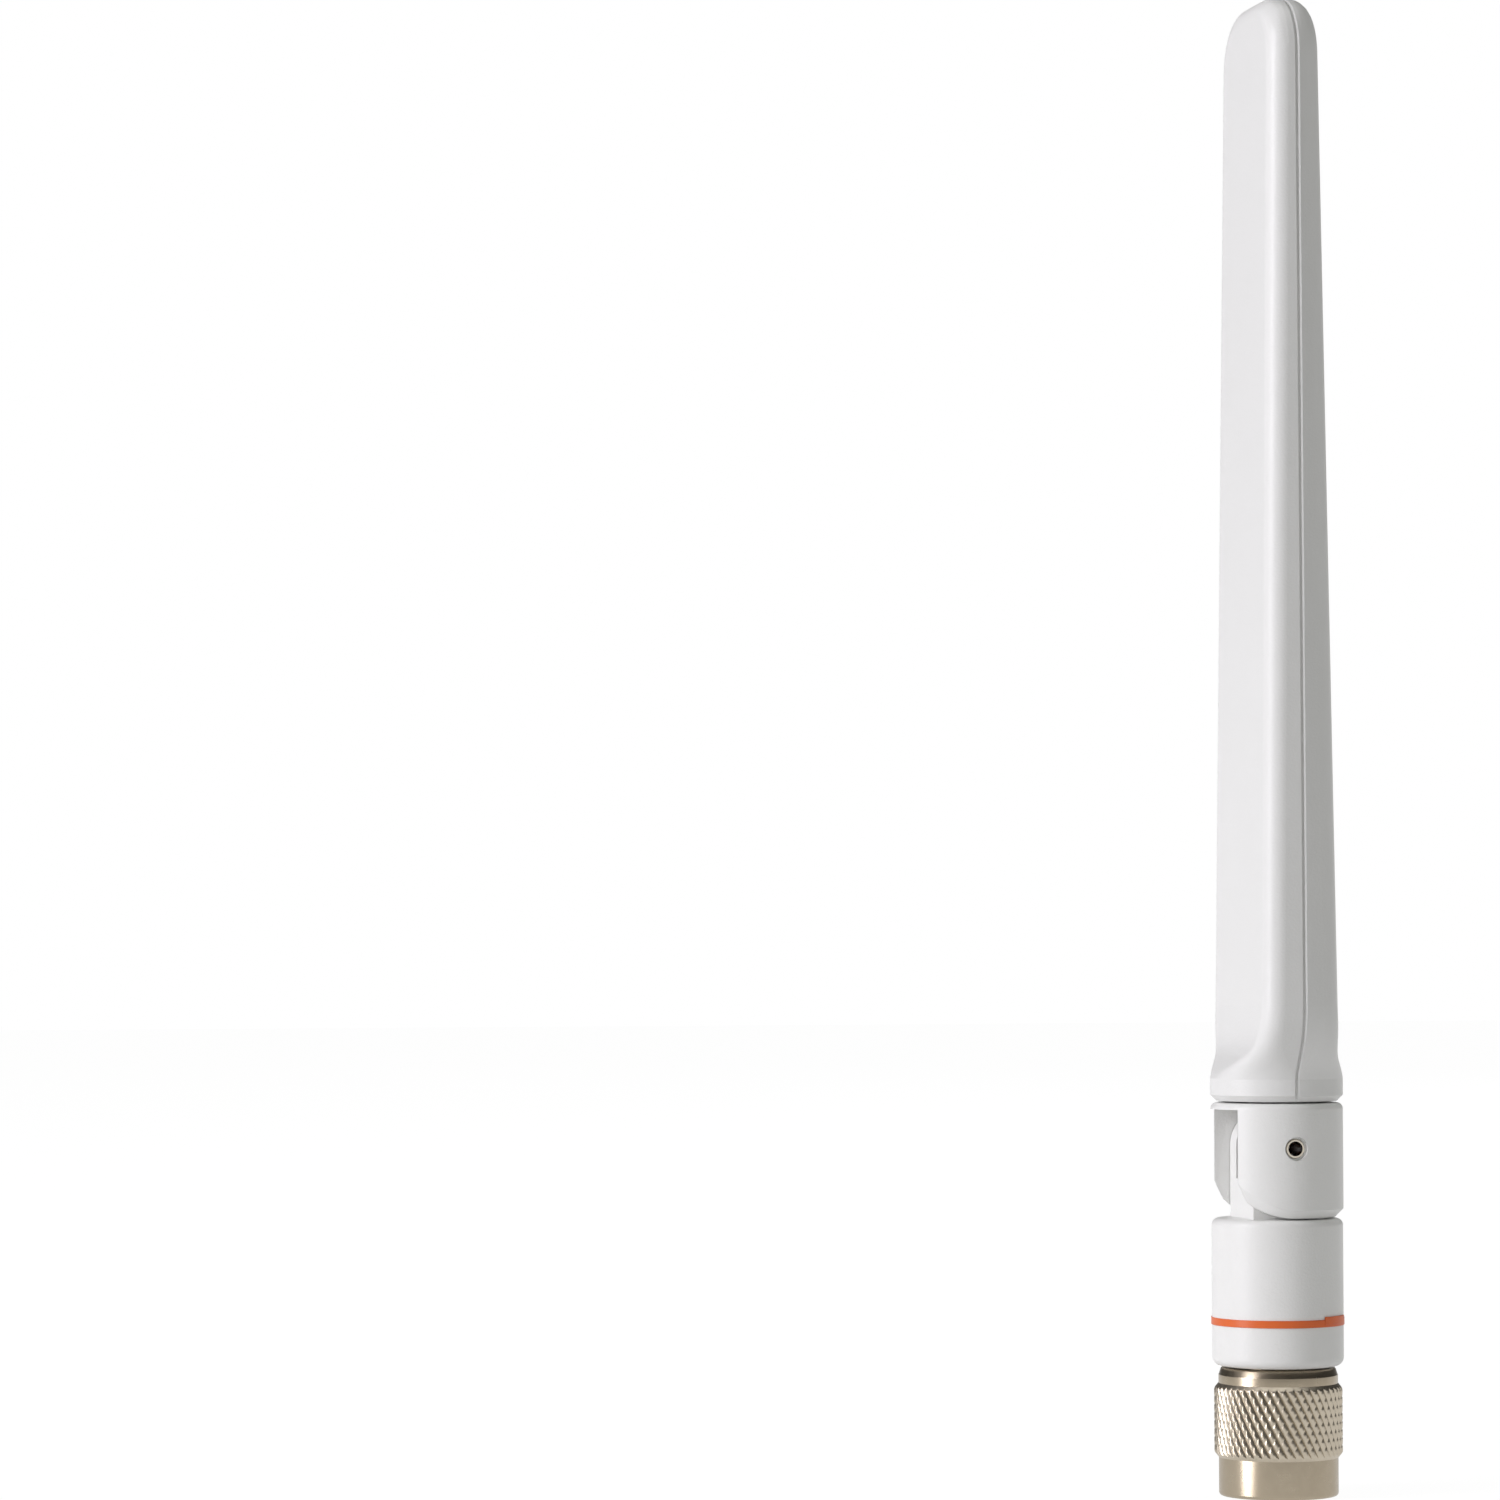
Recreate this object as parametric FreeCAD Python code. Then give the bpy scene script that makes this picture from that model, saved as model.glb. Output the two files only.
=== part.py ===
import FreeCAD, Part

import math
import os

V = FreeCAD.Vector
UP = V(0, 0, 1)
CROSSWISE = V(0, 1, 0)

# Articulated paddle antenna: a threaded coaxial plug at the bottom, a swivel collar on it,
# a knuckle hinge, and a flat blade that folds over towards -X. All sizes in millimetres.
# The origin is the centre of the coupling nut's mating end, +Z runs up the antenna,
# +-X are the blade's broad faces and the hinge pins lie along Y.

# Stack up the axis
NUT_LENGTH = 14.35
NUT_TO_COLLAR = 0.2
COLLAR_HEIGHT = 16.55
COLLAR_TO_FORK = 0.2
FORK_HEIGHT = 12.8
FORK_TO_BLADE = 0.2
TOTAL_LENGTH = 168.5
BARREL_R = 7.45                   # knuckle and blade ring share one diameter
COLLAR_SLIMMER = 0.07             # the collar is that much slimmer in radius

COLLAR_R = BARREL_R - COLLAR_SLIMMER
COLLAR_Z = NUT_LENGTH + NUT_TO_COLLAR
COLLAR_TOP = COLLAR_Z + COLLAR_HEIGHT
FORK_Z = COLLAR_TOP + COLLAR_TO_FORK
FORK_TOP = FORK_Z + FORK_HEIGHT
BLADE_Z = FORK_TOP + FORK_TO_BLADE

# Fits
RUNNING = 0.05                    # radial, turning parts
SNUG = 0.02                       # radial, pressed or glued parts
MOULDED = 0.1                     # each side, plastic on plastic

# Coupling nut, internal thread 7/16-28
KNURL_R = 7.2
KNURL_DEPTH = 0.34
KNURL_TEETH = 46
KNURL_ROWS = 7
KNURL_LOW = 4.65
KNURL_TO_BACK = 2.25
NUT_R = 6.7
NUT_RIM_R = 7.05
NUT_RIM = 0.25
NUT_EDGE = 0.4
NUT_SHOULDER_ROUND = 0.9
THREAD_MAJOR_R = 5.556
THREAD_MINOR_R = 5.1
THREAD_LENGTH = 6.6
THREAD_LEAD_IN = 0.8
NUT_RELIEF_R = 5.7
NUT_BACK_WALL = 1.8

# Plug body
SLEEVE_R = 4.05
SLEEVE_BORE_R = 3.45
SLEEVE_START = 0.8
SHOULDER_Z = 6.2
SHOULDER_R = 4.8
SHOULDER_THICK = 2.0
SPIGOT_R = 4.5
SPIGOT_UP = 8.8                   # above the collar's foot
INSULATOR_SEAT = 10.0
INSULATOR_TAIL_R = 2.1
INSULATOR_END = 13.9
WIRE_WAY_R = 1.1
RING_GROOVE_DEPTH = 0.45
RING_THICK = 0.7
RING_R = 5.2
RING_GAP_DEG = 50.0
SNAP_GROOVE_UP = 3.9              # above the collar's foot
SNAP_GROOVE_WIDTH = 1.5
SNAP_DEPTH = 0.5
O_RING_BELOW_TOP = 1.8
O_RING_SECTION_R = 0.48
O_RING_GROOVE_DEPTH = 0.95
GASKET_THICK = 0.7
GASKET_LAND = 0.3
POST_R = 1.3
POST_LENGTH = 5.4

# Contact and insulator
CONTACT_BORE_R = 0.69
CONTACT_R = 1.05
CONTACT_START = 1.6
CONTACT_BORE_DEPTH = 4.2
CONTACT_SHOULDER = 7.0
CONTACT_TAIL_R = 0.8
CONTACT_END = 14.4
CONTACT_SLOT = 0.3
CONTACT_SLOT_DEPTH = 2.8
NOSE_R = 2.35
NOSE_START = 2.4
NOSE_END = 6.6

# Coaxial cable, 1.8 mm jacket
JACKET_R = 0.9
DIELECTRIC_R = 0.42
WIRE_R = 0.15
SOLDER_CUP_DEPTH = 1.8
SOLDER_CUP_R = 0.25
BRAID_THICK = 0.28
BRAID_PAST_POST = 1.0
FERRULE_WALL = 0.45
FERRULE_PAST_POST = 0.6
FERRULE_TO_SPIGOT = 0.7
CABLE_WAY_R = 1.3

# Swivel collar
COLLAR_LOW_ROUND = 1.0
COLLAR_HIGH_ROUND = 0.8
COLLAR_CAVITY_R = 3.0
TAPE_UP = 5.05                    # above the collar's foot
TAPE_WIDTH = 0.83
TAPE_THICK = 0.08
TAPE_LAP_FROM_DEG = -63.0
TAPE_LAP_DEG = 34.0
TAPE_LAP_RISE = 0.32

# Knuckle hinge
PIN_ABOVE_COLLAR = 8.0
PIN_Z = COLLAR_TOP + PIN_ABOVE_COLLAR
PIN_R = 1.08
PIN_BORE_R = 0.8
PIN_RECESS = 0.6
PIN_RIM_ROUND = 0.09
PIN_WELL_R = 1.31
PIN_WELL_DEPTH = 0.75
TONGUE_HALF_X = 4.15
TONGUE_HALF_Y = 4.35
TONGUE_WAY = 2.0                  # half width of the cable slot
TONGUE_BACK = 1.4                 # web behind the cable slot
TONGUE_SILL = 4.4                 # height of the closed front below the cable slot
FORK_SLACK = 0.12                 # tongue to crown and to back web
FORK_LOW_CHAMFER = 0.9
FORK_TOP_ROUND = 0.75
NECK_STEM_R = 3.4
NECK_FLANGE_R = 5.2
NECK_FLANGE_HALF_X = 4.0
NECK_FLANGE_UP = 1.6
NECK_FLANGE_THICK = 2.0
NECK_TIP_R = 2.7
NECK_TIP_UP = 8.6

# Blade shells
BLADE_RING_HEIGHT = 2.5
BLADE_RING_CHAMFER = 0.65
FLARE_HEIGHT = 10.7               # ring and flare together
BLADE_HALF_W = 10.5
BLADE_HALF_T = 4.42
BLADE_TOP_HALF_W = 9.75
BLADE_TOP_HALF_T = 2.92
BLADE_CORNER_R = 2.15
TIP_CORNER_R = 6.8
WALL = 1.25
SEAM_HALF_WIDTH = 0.15
SEAM_DEPTH = 0.25
LIP_FROM_OUTSIDE = 0.65
LIP_WIDTH = 0.3
LIP_HEIGHT = 0.5

# Flare: height above the ring, half thickness, half width, corner radius
FLARE_STATIONS = (
    (0.0, BARREL_R, BARREL_R, BARREL_R - 0.02),
    (0.9, 6.92, 7.72, 6.4),
    (2.0, 5.95, 8.35, 4.7),
    (3.15, 5.12, 9.05, 3.05),
    (4.5, 4.74, 9.75, 2.35),
    (6.2, 4.56, 10.27, 2.18),
)

# Printed dipole on its board
BOARD_HALF_T = 0.4
BOARD_HALF_W = 7.0
BOARD_ABOVE_FLARE = 7.0
BOARD_TO_TIP = 18.5
COPPER_THICK = 0.05
FEED_GAP = 1.0
ARM_BAR = 2.2
ARM_HALF_W = 6.0
ARM_TRACK = 1.4
LOW_BAND_ARM = 27.0
HIGH_BAND_ARM = 12.0
HIGH_BAND_INSET = 2.4
RIB_FROM_BOARD_ENDS = 4.5
RIB_THICK = 1.2
CABLE_BEND_R = 6.0
WIRE_BEND_R = 0.6
CABLE_END_BELOW_FEED = 2.6

# Places that follow from the sizes above
KNURL_HIGH = NUT_LENGTH - KNURL_TO_BACK
SNAP_GROOVE_Z = COLLAR_Z + SNAP_GROOVE_UP
SPIGOT_TOP = COLLAR_Z + SPIGOT_UP
O_RING_Z = SPIGOT_TOP - O_RING_BELOW_TOP
POST_TOP = SPIGOT_TOP + POST_LENGTH
BRAID_END = POST_TOP + BRAID_PAST_POST
FERRULE_Z = SPIGOT_TOP + FERRULE_TO_SPIGOT
FERRULE_TOP = POST_TOP + FERRULE_PAST_POST
COLLAR_CAVITY_TOP = BRAID_END + FORK_SLACK
TAPE_Z = COLLAR_Z + TAPE_UP
FLARE_TOP = BLADE_Z + FLARE_HEIGHT
BOARD_LOW = FLARE_TOP + BOARD_ABOVE_FLARE
BOARD_HIGH = TOTAL_LENGTH - BOARD_TO_TIP
FEED_Z = (BOARD_LOW + BOARD_HIGH) / 2
RIB_MIDDLES = (BOARD_LOW + RIB_FROM_BOARD_ENDS, (BOARD_LOW + FEED_Z) / 2,
               BOARD_HIGH - RIB_FROM_BOARD_ENDS)
NUT_BORE_R = SPIGOT_R + RUNNING
COLLAR_BORE_R = SPIGOT_R + RUNNING + 0.04
FORK_HALF_SLOT = TONGUE_HALF_Y + MOULDED
CROWN_Z = PIN_Z + TONGUE_HALF_X + FORK_SLACK
WEB_X = TONGUE_HALF_X + FORK_SLACK
FORK_SWING_R = PIN_ABOVE_COLLAR - COLLAR_TO_FORK
CABLE_X = BOARD_HALF_T + COPPER_THICK + SNUG + JACKET_R
EDGE_LEAN = math.atan((BLADE_HALF_W - BLADE_TOP_HALF_W) / (TOTAL_LENGTH - FLARE_TOP))


def lathe(points):
    """Solid of revolution about Z through (radius, height) corners."""
    corners = [V(r, 0, z) for r, z in points]
    face = Part.Face(Part.makePolygon(corners + corners[:1]))
    return face.revolve(V(0, 0, 0), UP, 360)


def rod(radius, low, high, x=0.0, y=0.0):
    return Part.makeCylinder(radius, high - low, V(x, y, low), UP)


def tube(inner, outer, low, high):
    return rod(outer, low, high).cut(rod(inner, low, high))


def block(x0, x1, y0, y1, z0, z1):
    return Part.makeBox(x1 - x0, y1 - y0, z1 - z0, V(x0, y0, z0))


def cross_rod(radius, y0, y1):
    """Cylinder along the hinge axis."""
    return Part.makeCylinder(radius, y1 - y0, V(0, y0, PIN_Z), CROSSWISE)


def soften(solid, radius, rings):
    """Rounds the whole circular edges about Z found at each (radius, height)."""
    chosen = []
    for edge in solid.Edges:
        if isinstance(edge.Curve, Part.Circle) and edge.isClosed():
            here = (edge.Curve.Radius, edge.Curve.Center.z)
            if any(math.dist(here, ring) < 1e-3 for ring in rings):
                chosen.append(edge)
    return solid.makeFillet(radius, chosen)


def mirrored(solid):
    return solid.mirror(V(0, 0, 0), V(1, 0, 0))


def stepped_rod(radius, x0, x1, low, step_z, high, bend):
    """Round cable that runs up Z and steps sideways from x0 to x1 through two equal bends."""
    turn = math.acos(1 - abs(x1 - x0) / (2 * bend))
    side = math.copysign(1, x1 - x0)
    rise, middle = bend * math.sin(turn), (x0 + x1) / 2
    near, far = bend * (1 - math.cos(turn / 2)), bend * math.sin(turn / 2)
    top = step_z + 2 * rise
    path = Part.Wire([
        Part.makeLine(V(x0, 0, low), V(x0, 0, step_z)),
        Part.Arc(V(x0, 0, step_z), V(x0 + side * near, 0, step_z + far),
                 V(middle, 0, step_z + rise)).toShape(),
        Part.Arc(V(middle, 0, step_z + rise), V(x1 - side * near, 0, top - far),
                 V(x1, 0, top)).toShape(),
        Part.makeLine(V(x1, 0, top), V(x1, 0, high)),
    ])
    ring = Part.Wire([Part.makeCircle(radius, V(x0, 0, low), UP)])
    return path.makePipeShell([ring], True, False)


def knurled_drum(peak, root, low, high, teeth, rows):
    """Diamond knurl: on every level peaks and groove crossings alternate round the drum."""
    points, facets = [V(0, 0, low), V(0, 0, high)], []
    for level in range(rows + 1):
        z = low + (high - low) * level / rows
        for k in range(2 * teeth):
            r = peak if (k + level) % 2 == 0 else root
            turn = math.pi * k / teeth
            points.append(V(r * math.cos(turn), r * math.sin(turn), z))

    def at(level, k):
        return 2 + level * 2 * teeth + k % (2 * teeth)

    for level in range(rows):
        for k in range(2 * teeth):
            a, b = at(level, k), at(level, k + 1)
            c, d = at(level + 1, k), at(level + 1, k + 1)
            if (k + level) % 2 == 0:
                facets += [(a, b, c), (d, c, b)]
            else:
                facets += [(b, d, a), (c, a, d)]
    for k in range(2 * teeth):
        facets.append((0, at(0, k + 1), at(0, k)))
        facets.append((1, at(rows, k), at(rows, k + 1)))
    shell = Part.Shape()
    shell.makeShapeFromMesh((points, facets), 1e-4)
    return Part.makeSolid(shell).removeSplitter()


# Coupling nut: plain nose, knurled grip between two rims, rounded shoulder at the back
def coupling_nut():
    outside = lathe([
        (0, 0), (NUT_R, 0), (NUT_R, KNURL_LOW - NUT_RIM),
        (NUT_RIM_R, KNURL_LOW - NUT_RIM / 2), (NUT_RIM_R, KNURL_LOW),
        (NUT_R, KNURL_LOW), (NUT_R, KNURL_HIGH), (NUT_RIM_R, KNURL_HIGH),
        (NUT_RIM_R, KNURL_HIGH + NUT_RIM / 2), (NUT_R, KNURL_HIGH + NUT_RIM),
        (NUT_R, NUT_LENGTH), (0, NUT_LENGTH),
    ])
    outside = soften(outside, NUT_EDGE, [(NUT_R, 0)])
    outside = soften(outside, NUT_SHOULDER_ROUND, [(NUT_R, NUT_LENGTH)])
    grip = knurled_drum(
        KNURL_R, KNURL_R - KNURL_DEPTH, KNURL_LOW, KNURL_HIGH, KNURL_TEETH, KNURL_ROWS)
    back = NUT_LENGTH - NUT_BACK_WALL
    inside = lathe([
        (0, -1), (THREAD_MAJOR_R + 0.15, -1), (THREAD_MAJOR_R + 0.15, 0),
        (THREAD_MINOR_R, THREAD_LEAD_IN), (THREAD_MINOR_R, THREAD_LENGTH),
        (NUT_RELIEF_R, THREAD_LENGTH + 0.4), (NUT_RELIEF_R, back),
        (NUT_BORE_R, back), (NUT_BORE_R, NUT_LENGTH + 1), (0, NUT_LENGTH + 1),
    ])
    return outside.fuse(grip).cut(inside)


# Plug body: contact sleeve, reference shoulder, long spigot for nut and collar, crimp post
def connector_body():
    ring_z = NUT_LENGTH - NUT_BACK_WALL - RING_THICK - 2 * RUNNING
    ring_r = SPIGOT_R - RING_GROOVE_DEPTH
    o_low = O_RING_Z - O_RING_SECTION_R - 0.1
    o_high = O_RING_Z + O_RING_SECTION_R + 0.1
    o_r = SPIGOT_R - O_RING_GROOVE_DEPTH
    snap_r = SPIGOT_R - SNAP_DEPTH
    land_z = SHOULDER_Z - GASKET_THICK
    return lathe([
        (SLEEVE_BORE_R, SLEEVE_START + 0.2), (SLEEVE_BORE_R + 0.2, SLEEVE_START),
        (SLEEVE_R - 0.2, SLEEVE_START), (SLEEVE_R, SLEEVE_START + 0.3),
        (SLEEVE_R, land_z), (SLEEVE_R + GASKET_LAND, land_z),
        (SLEEVE_R + GASKET_LAND, SHOULDER_Z), (SHOULDER_R, SHOULDER_Z),
        (SHOULDER_R, SHOULDER_Z + SHOULDER_THICK), (SPIGOT_R, SHOULDER_Z + SHOULDER_THICK + 0.3),
        (SPIGOT_R, ring_z), (ring_r, ring_z),
        (ring_r, ring_z + RING_THICK + RUNNING), (SPIGOT_R, ring_z + RING_THICK + RUNNING),
        (SPIGOT_R, SNAP_GROOVE_Z), (snap_r, SNAP_GROOVE_Z),
        (snap_r, SNAP_GROOVE_Z + SNAP_GROOVE_WIDTH), (SPIGOT_R, SNAP_GROOVE_Z + SNAP_GROOVE_WIDTH),
        (SPIGOT_R, o_low), (o_r, o_low), (o_r, o_high), (SPIGOT_R, o_high),
        (SPIGOT_R, SPIGOT_TOP - 0.5), (SPIGOT_R - 0.5, SPIGOT_TOP),
        (POST_R, SPIGOT_TOP), (POST_R, POST_TOP), (DIELECTRIC_R + SNUG, POST_TOP),
        (DIELECTRIC_R + SNUG, SPIGOT_TOP), (WIRE_WAY_R, SPIGOT_TOP - 0.6),
        (WIRE_WAY_R, INSULATOR_END + 0.1), (INSULATOR_TAIL_R, INSULATOR_END + 0.1),
        (INSULATOR_TAIL_R, INSULATOR_SEAT), (SLEEVE_BORE_R, INSULATOR_SEAT),
    ])


def insulator():
    return lathe([
        (CONTACT_R + SNUG, NOSE_START), (NOSE_R - 0.2, NOSE_START), (NOSE_R, NOSE_START + 0.2),
        (NOSE_R, NOSE_END), (SLEEVE_BORE_R - SNUG, NOSE_END), (SLEEVE_BORE_R - SNUG, INSULATOR_SEAT),
        (INSULATOR_TAIL_R - SNUG, INSULATOR_SEAT), (INSULATOR_TAIL_R - SNUG, INSULATOR_END),
        (CONTACT_TAIL_R + SNUG, INSULATOR_END), (CONTACT_TAIL_R + SNUG, CONTACT_SHOULDER),
        (CONTACT_R + SNUG, CONTACT_SHOULDER),
    ])


# Centre contact: slotted socket at the front, solder cup at the back
def centre_contact():
    floor = CONTACT_START + CONTACT_BORE_DEPTH
    cup = CONTACT_END - SOLDER_CUP_DEPTH
    contact = lathe([
        (CONTACT_BORE_R + 0.12, CONTACT_START), (CONTACT_R - 0.12, CONTACT_START),
        (CONTACT_R, CONTACT_START + 0.12), (CONTACT_R, CONTACT_SHOULDER),
        (CONTACT_TAIL_R, CONTACT_SHOULDER), (CONTACT_TAIL_R, CONTACT_END),
        (SOLDER_CUP_R, CONTACT_END), (SOLDER_CUP_R, cup), (0, cup),
        (0, floor), (CONTACT_BORE_R, floor), (CONTACT_BORE_R, CONTACT_START + 0.12),
    ])
    half = CONTACT_SLOT / 2
    slot = block(-2, 2, -half, half, CONTACT_START - 1, CONTACT_START + CONTACT_SLOT_DEPTH)
    return contact.cut(slot)


# Open wire ring in the body's groove that stops the nut from coming off
def nut_ring():
    low = NUT_LENGTH - NUT_BACK_WALL - RING_THICK - RUNNING
    ring = lathe([
        (SPIGOT_R - RING_GROOVE_DEPTH + SNUG, low), (RING_R, low),
        (RING_R, low + RING_THICK - RUNNING),
        (SPIGOT_R - RING_GROOVE_DEPTH + SNUG, low + RING_THICK - RUNNING),
    ])
    reach = RING_R * 2
    half = math.radians(RING_GAP_DEG / 2)
    wedge = Part.makePolygon([
        V(0, 0, low - 1), V(reach * math.cos(half), reach * math.sin(half), low - 1),
        V(reach * math.cos(half), -reach * math.sin(half), low - 1), V(0, 0, low - 1)])
    return ring.cut(Part.Face(wedge).extrude(V(0, 0, RING_THICK + 2)))


def mating_gasket():
    inner = SLEEVE_R + GASKET_LAND + SNUG
    return tube(inner, SHOULDER_R - SNUG, SHOULDER_Z - GASKET_THICK, SHOULDER_Z)


def swivel_o_ring():
    middle = SPIGOT_R - O_RING_GROOVE_DEPTH + SNUG + O_RING_SECTION_R
    return Part.makeTorus(middle, O_RING_SECTION_R, V(0, 0, O_RING_Z), UP)


def crimp_ferrule():
    inner = POST_R + BRAID_THICK + 2 * SNUG
    return soften(
        tube(inner, inner + FERRULE_WALL, FERRULE_Z, FERRULE_TOP), 0.15,
        [(inner + FERRULE_WALL, FERRULE_Z), (inner + FERRULE_WALL, FERRULE_TOP)])


def cable_braid():
    inner, outer = POST_R + SNUG, POST_R + SNUG + BRAID_THICK
    return lathe([
        (inner, FERRULE_Z), (outer, FERRULE_Z), (outer, POST_TOP + 0.3), (JACKET_R, BRAID_END),
        (DIELECTRIC_R + SNUG, BRAID_END), (DIELECTRIC_R + SNUG, POST_TOP + SNUG),
        (inner, POST_TOP + SNUG),
    ])


def cable_dielectric_lower():
    return tube(WIRE_R + SNUG / 2, DIELECTRIC_R, CONTACT_END + 0.2, BRAID_END)


def cable_wire_lower():
    return rod(WIRE_R, CONTACT_END - SOLDER_CUP_DEPTH + 0.1, BRAID_END)


def cable_jacket_lower():
    return rod(JACKET_R, BRAID_END, COLLAR_TOP)


# Swivel collar: snaps into the spigot's groove and carries the hinge tongue
def swivel_collar():
    outer = lathe([
        (0, COLLAR_Z), (COLLAR_R, COLLAR_Z), (COLLAR_R, COLLAR_TOP), (0, COLLAR_TOP)])
    outer = soften(outer, COLLAR_LOW_ROUND, [(COLLAR_R, COLLAR_Z)])
    outer = soften(outer, COLLAR_HIGH_ROUND, [(COLLAR_R, COLLAR_TOP)])
    bead_r = SPIGOT_R - SNAP_DEPTH + MOULDED
    bead_low, bead_high = SNAP_GROOVE_Z + MOULDED, SNAP_GROOVE_Z + SNAP_GROOVE_WIDTH - MOULDED
    slope = COLLAR_BORE_R - bead_r
    seat = SPIGOT_TOP + FORK_SLACK
    bore = lathe([
        (0, COLLAR_Z - 1), (COLLAR_BORE_R, COLLAR_Z - 1), (COLLAR_BORE_R, bead_low),
        (bead_r, bead_low + slope / 2), (bead_r, bead_high - slope / 2),
        (COLLAR_BORE_R, bead_high), (COLLAR_BORE_R, seat), (COLLAR_CAVITY_R, seat),
        (COLLAR_CAVITY_R, COLLAR_CAVITY_TOP), (0, COLLAR_CAVITY_TOP),
    ])
    x, y = TONGUE_HALF_X, TONGUE_HALF_Y
    tongue = block(-x, x, -y, y, COLLAR_TOP - 1, PIN_Z).fuse(cross_rod(x, -y, y))
    sill = COLLAR_TOP + TONGUE_SILL
    way = block(-x - 1, x - TONGUE_BACK, -TONGUE_WAY, TONGUE_WAY, sill, PIN_Z + x + 1)
    way = way.fuse(block(
        -TONGUE_WAY, x - TONGUE_BACK, -TONGUE_WAY, TONGUE_WAY,
        COLLAR_CAVITY_TOP - 1, sill + 1))
    pin_hole = cross_rod(PIN_R + RUNNING, -y - 1, y + 1)
    return outer.fuse(tongue).cut(bore).cut(way).cut(pin_hole)


# Colour band: one turn of narrow tape whose end laps over its start and rises a little
def colour_band():
    low, high = TAPE_Z - TAPE_WIDTH / 2, TAPE_Z + TAPE_WIDTH / 2
    r = COLLAR_R + SNUG / 2
    turn = tube(r, r + TAPE_THICK, low, high)
    strip = Part.makePolygon([
        V(r + TAPE_THICK / 2, 0, low), V(r + 2 * TAPE_THICK, 0, low),
        V(r + 2 * TAPE_THICK, 0, high), V(r + TAPE_THICK / 2, 0, high),
        V(r + TAPE_THICK / 2, 0, low)])
    lap = Part.Face(strip).revolve(V(0, 0, 0), UP, TAPE_LAP_DEG)
    lap.rotate(V(0, 0, 0), UP, TAPE_LAP_FROM_DEG)
    lap.translate(V(0, 0, TAPE_LAP_RISE))
    return turn.fuse(lap)


# Knuckle fork: two cheeks and a back web round the tongue, and a neck held by the shells
def neck(slack):
    base = FORK_TOP - 0.5
    flange = FORK_TOP + NECK_FLANGE_UP
    stem = rod(NECK_STEM_R + slack, base, flange + 0.1)
    plate = rod(NECK_FLANGE_R + slack, flange - slack, flange + NECK_FLANGE_THICK + slack)
    half = NECK_FLANGE_HALF_X + slack
    wide = 2 * NECK_FLANGE_R
    plate = plate.common(block(-half, half, -wide, wide, flange - 1, flange + 2 * wide))
    tip = rod(NECK_TIP_R + slack, flange, FORK_TOP + NECK_TIP_UP + slack)
    return stem.fuse([plate, tip])


def on_barrel(edge):
    """True for an edge that lies on the barrel's round side all along, and isn't upright."""
    low, high = edge.ParameterRange
    points = [edge.valueAt(low + (high - low) * step / 4) for step in range(5)]
    flat = math.hypot(points[0].x - points[4].x, points[0].y - points[4].y) > 0.5
    whole = edge.isClosed()
    return (flat or whole) and all(
        abs(math.hypot(p.x, p.y) - BARREL_R) < 1e-3 for p in points)


def knuckle_fork():
    body = rod(BARREL_R, FORK_Z, FORK_TOP)
    body = soften(body, FORK_TOP_ROUND, [(BARREL_R, FORK_TOP)])
    wide = 2 * BARREL_R
    low_front = block(-wide, 0, -wide, wide, FORK_Z - 1, PIN_Z)
    swing = cross_rod(FORK_SWING_R, -wide, wide)
    slot = block(-wide, WEB_X, -FORK_HALF_SLOT, FORK_HALF_SLOT, FORK_Z - 1, CROWN_Z)
    body = body.cut(low_front.cut(swing))
    rim = [e for e in body.Edges if on_barrel(e) and e.BoundBox.ZMax < PIN_Z]
    body = body.makeChamfer(FORK_LOW_CHAMFER, rim).cut(slot).fuse(neck(0))
    pin_hole = cross_rod(PIN_R + SNUG, -wide, wide)
    well_y = BARREL_R - PIN_WELL_DEPTH
    wells = cross_rod(PIN_WELL_R, well_y, wide).fuse(cross_rod(PIN_WELL_R, -wide, -well_y))
    return body.cut(pin_hole).cut(wells).cut(rod(CABLE_WAY_R, CROWN_Z - 1, FLARE_TOP))


# Hinge pin: short hollow pin, pressed into the cheek and running in the tongue
def hinge_pin(side):
    outer_end, inner_end = BARREL_R - PIN_RECESS, TONGUE_WAY + MOULDED
    low, high = (inner_end, outer_end) if side > 0 else (-outer_end, -inner_end)
    pin = cross_rod(PIN_R, low, high)
    ends = [e for e in pin.Edges if isinstance(e.Curve, Part.Circle)]
    return pin.makeFillet(PIN_RIM_ROUND, ends).cut(cross_rod(PIN_BORE_R, low - 1, high + 1))


def half_width(z):
    share = (z - FLARE_TOP) / (TOTAL_LENGTH - FLARE_TOP)
    return BLADE_HALF_W + (BLADE_TOP_HALF_W - BLADE_HALF_W) * share


def half_thickness(z):
    share = (z - FLARE_TOP) / (TOTAL_LENGTH - FLARE_TOP)
    return BLADE_HALF_T + (BLADE_TOP_HALF_T - BLADE_HALF_T) * share


def edge_width(z, inset):
    """Half width at z of the blade's face outline pulled in by inset."""
    return half_width(z) - inset / math.cos(EDGE_LEAN)


def blade_outline(inset, low, x):
    """Face outline of the blade in a plane of constant X, pulled in by inset."""
    top, radius = TOTAL_LENGTH - inset, TIP_CORNER_R - inset
    centre_z = top - radius
    centre_y = edge_width(centre_z, inset + radius)
    side = V(x, centre_y + radius * math.cos(EDGE_LEAN),
             centre_z + radius * math.sin(EDGE_LEAN))
    bend = (math.pi / 2 + EDGE_LEAN) / 2
    mid = V(x, centre_y + radius * math.cos(bend), centre_z + radius * math.sin(bend))
    crown = V(x, centre_y, top)
    foot = V(x, edge_width(low, inset), low)

    def other(p):
        return V(p.x, -p.y, p.z)

    return Part.Wire([
        Part.makeLine(other(foot), foot), Part.makeLine(foot, side),
        Part.Arc(side, mid, crown).toShape(), Part.makeLine(crown, other(crown)),
        Part.Arc(other(crown), other(mid), other(side)).toShape(),
        Part.makeLine(other(side), other(foot)),
    ])


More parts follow.
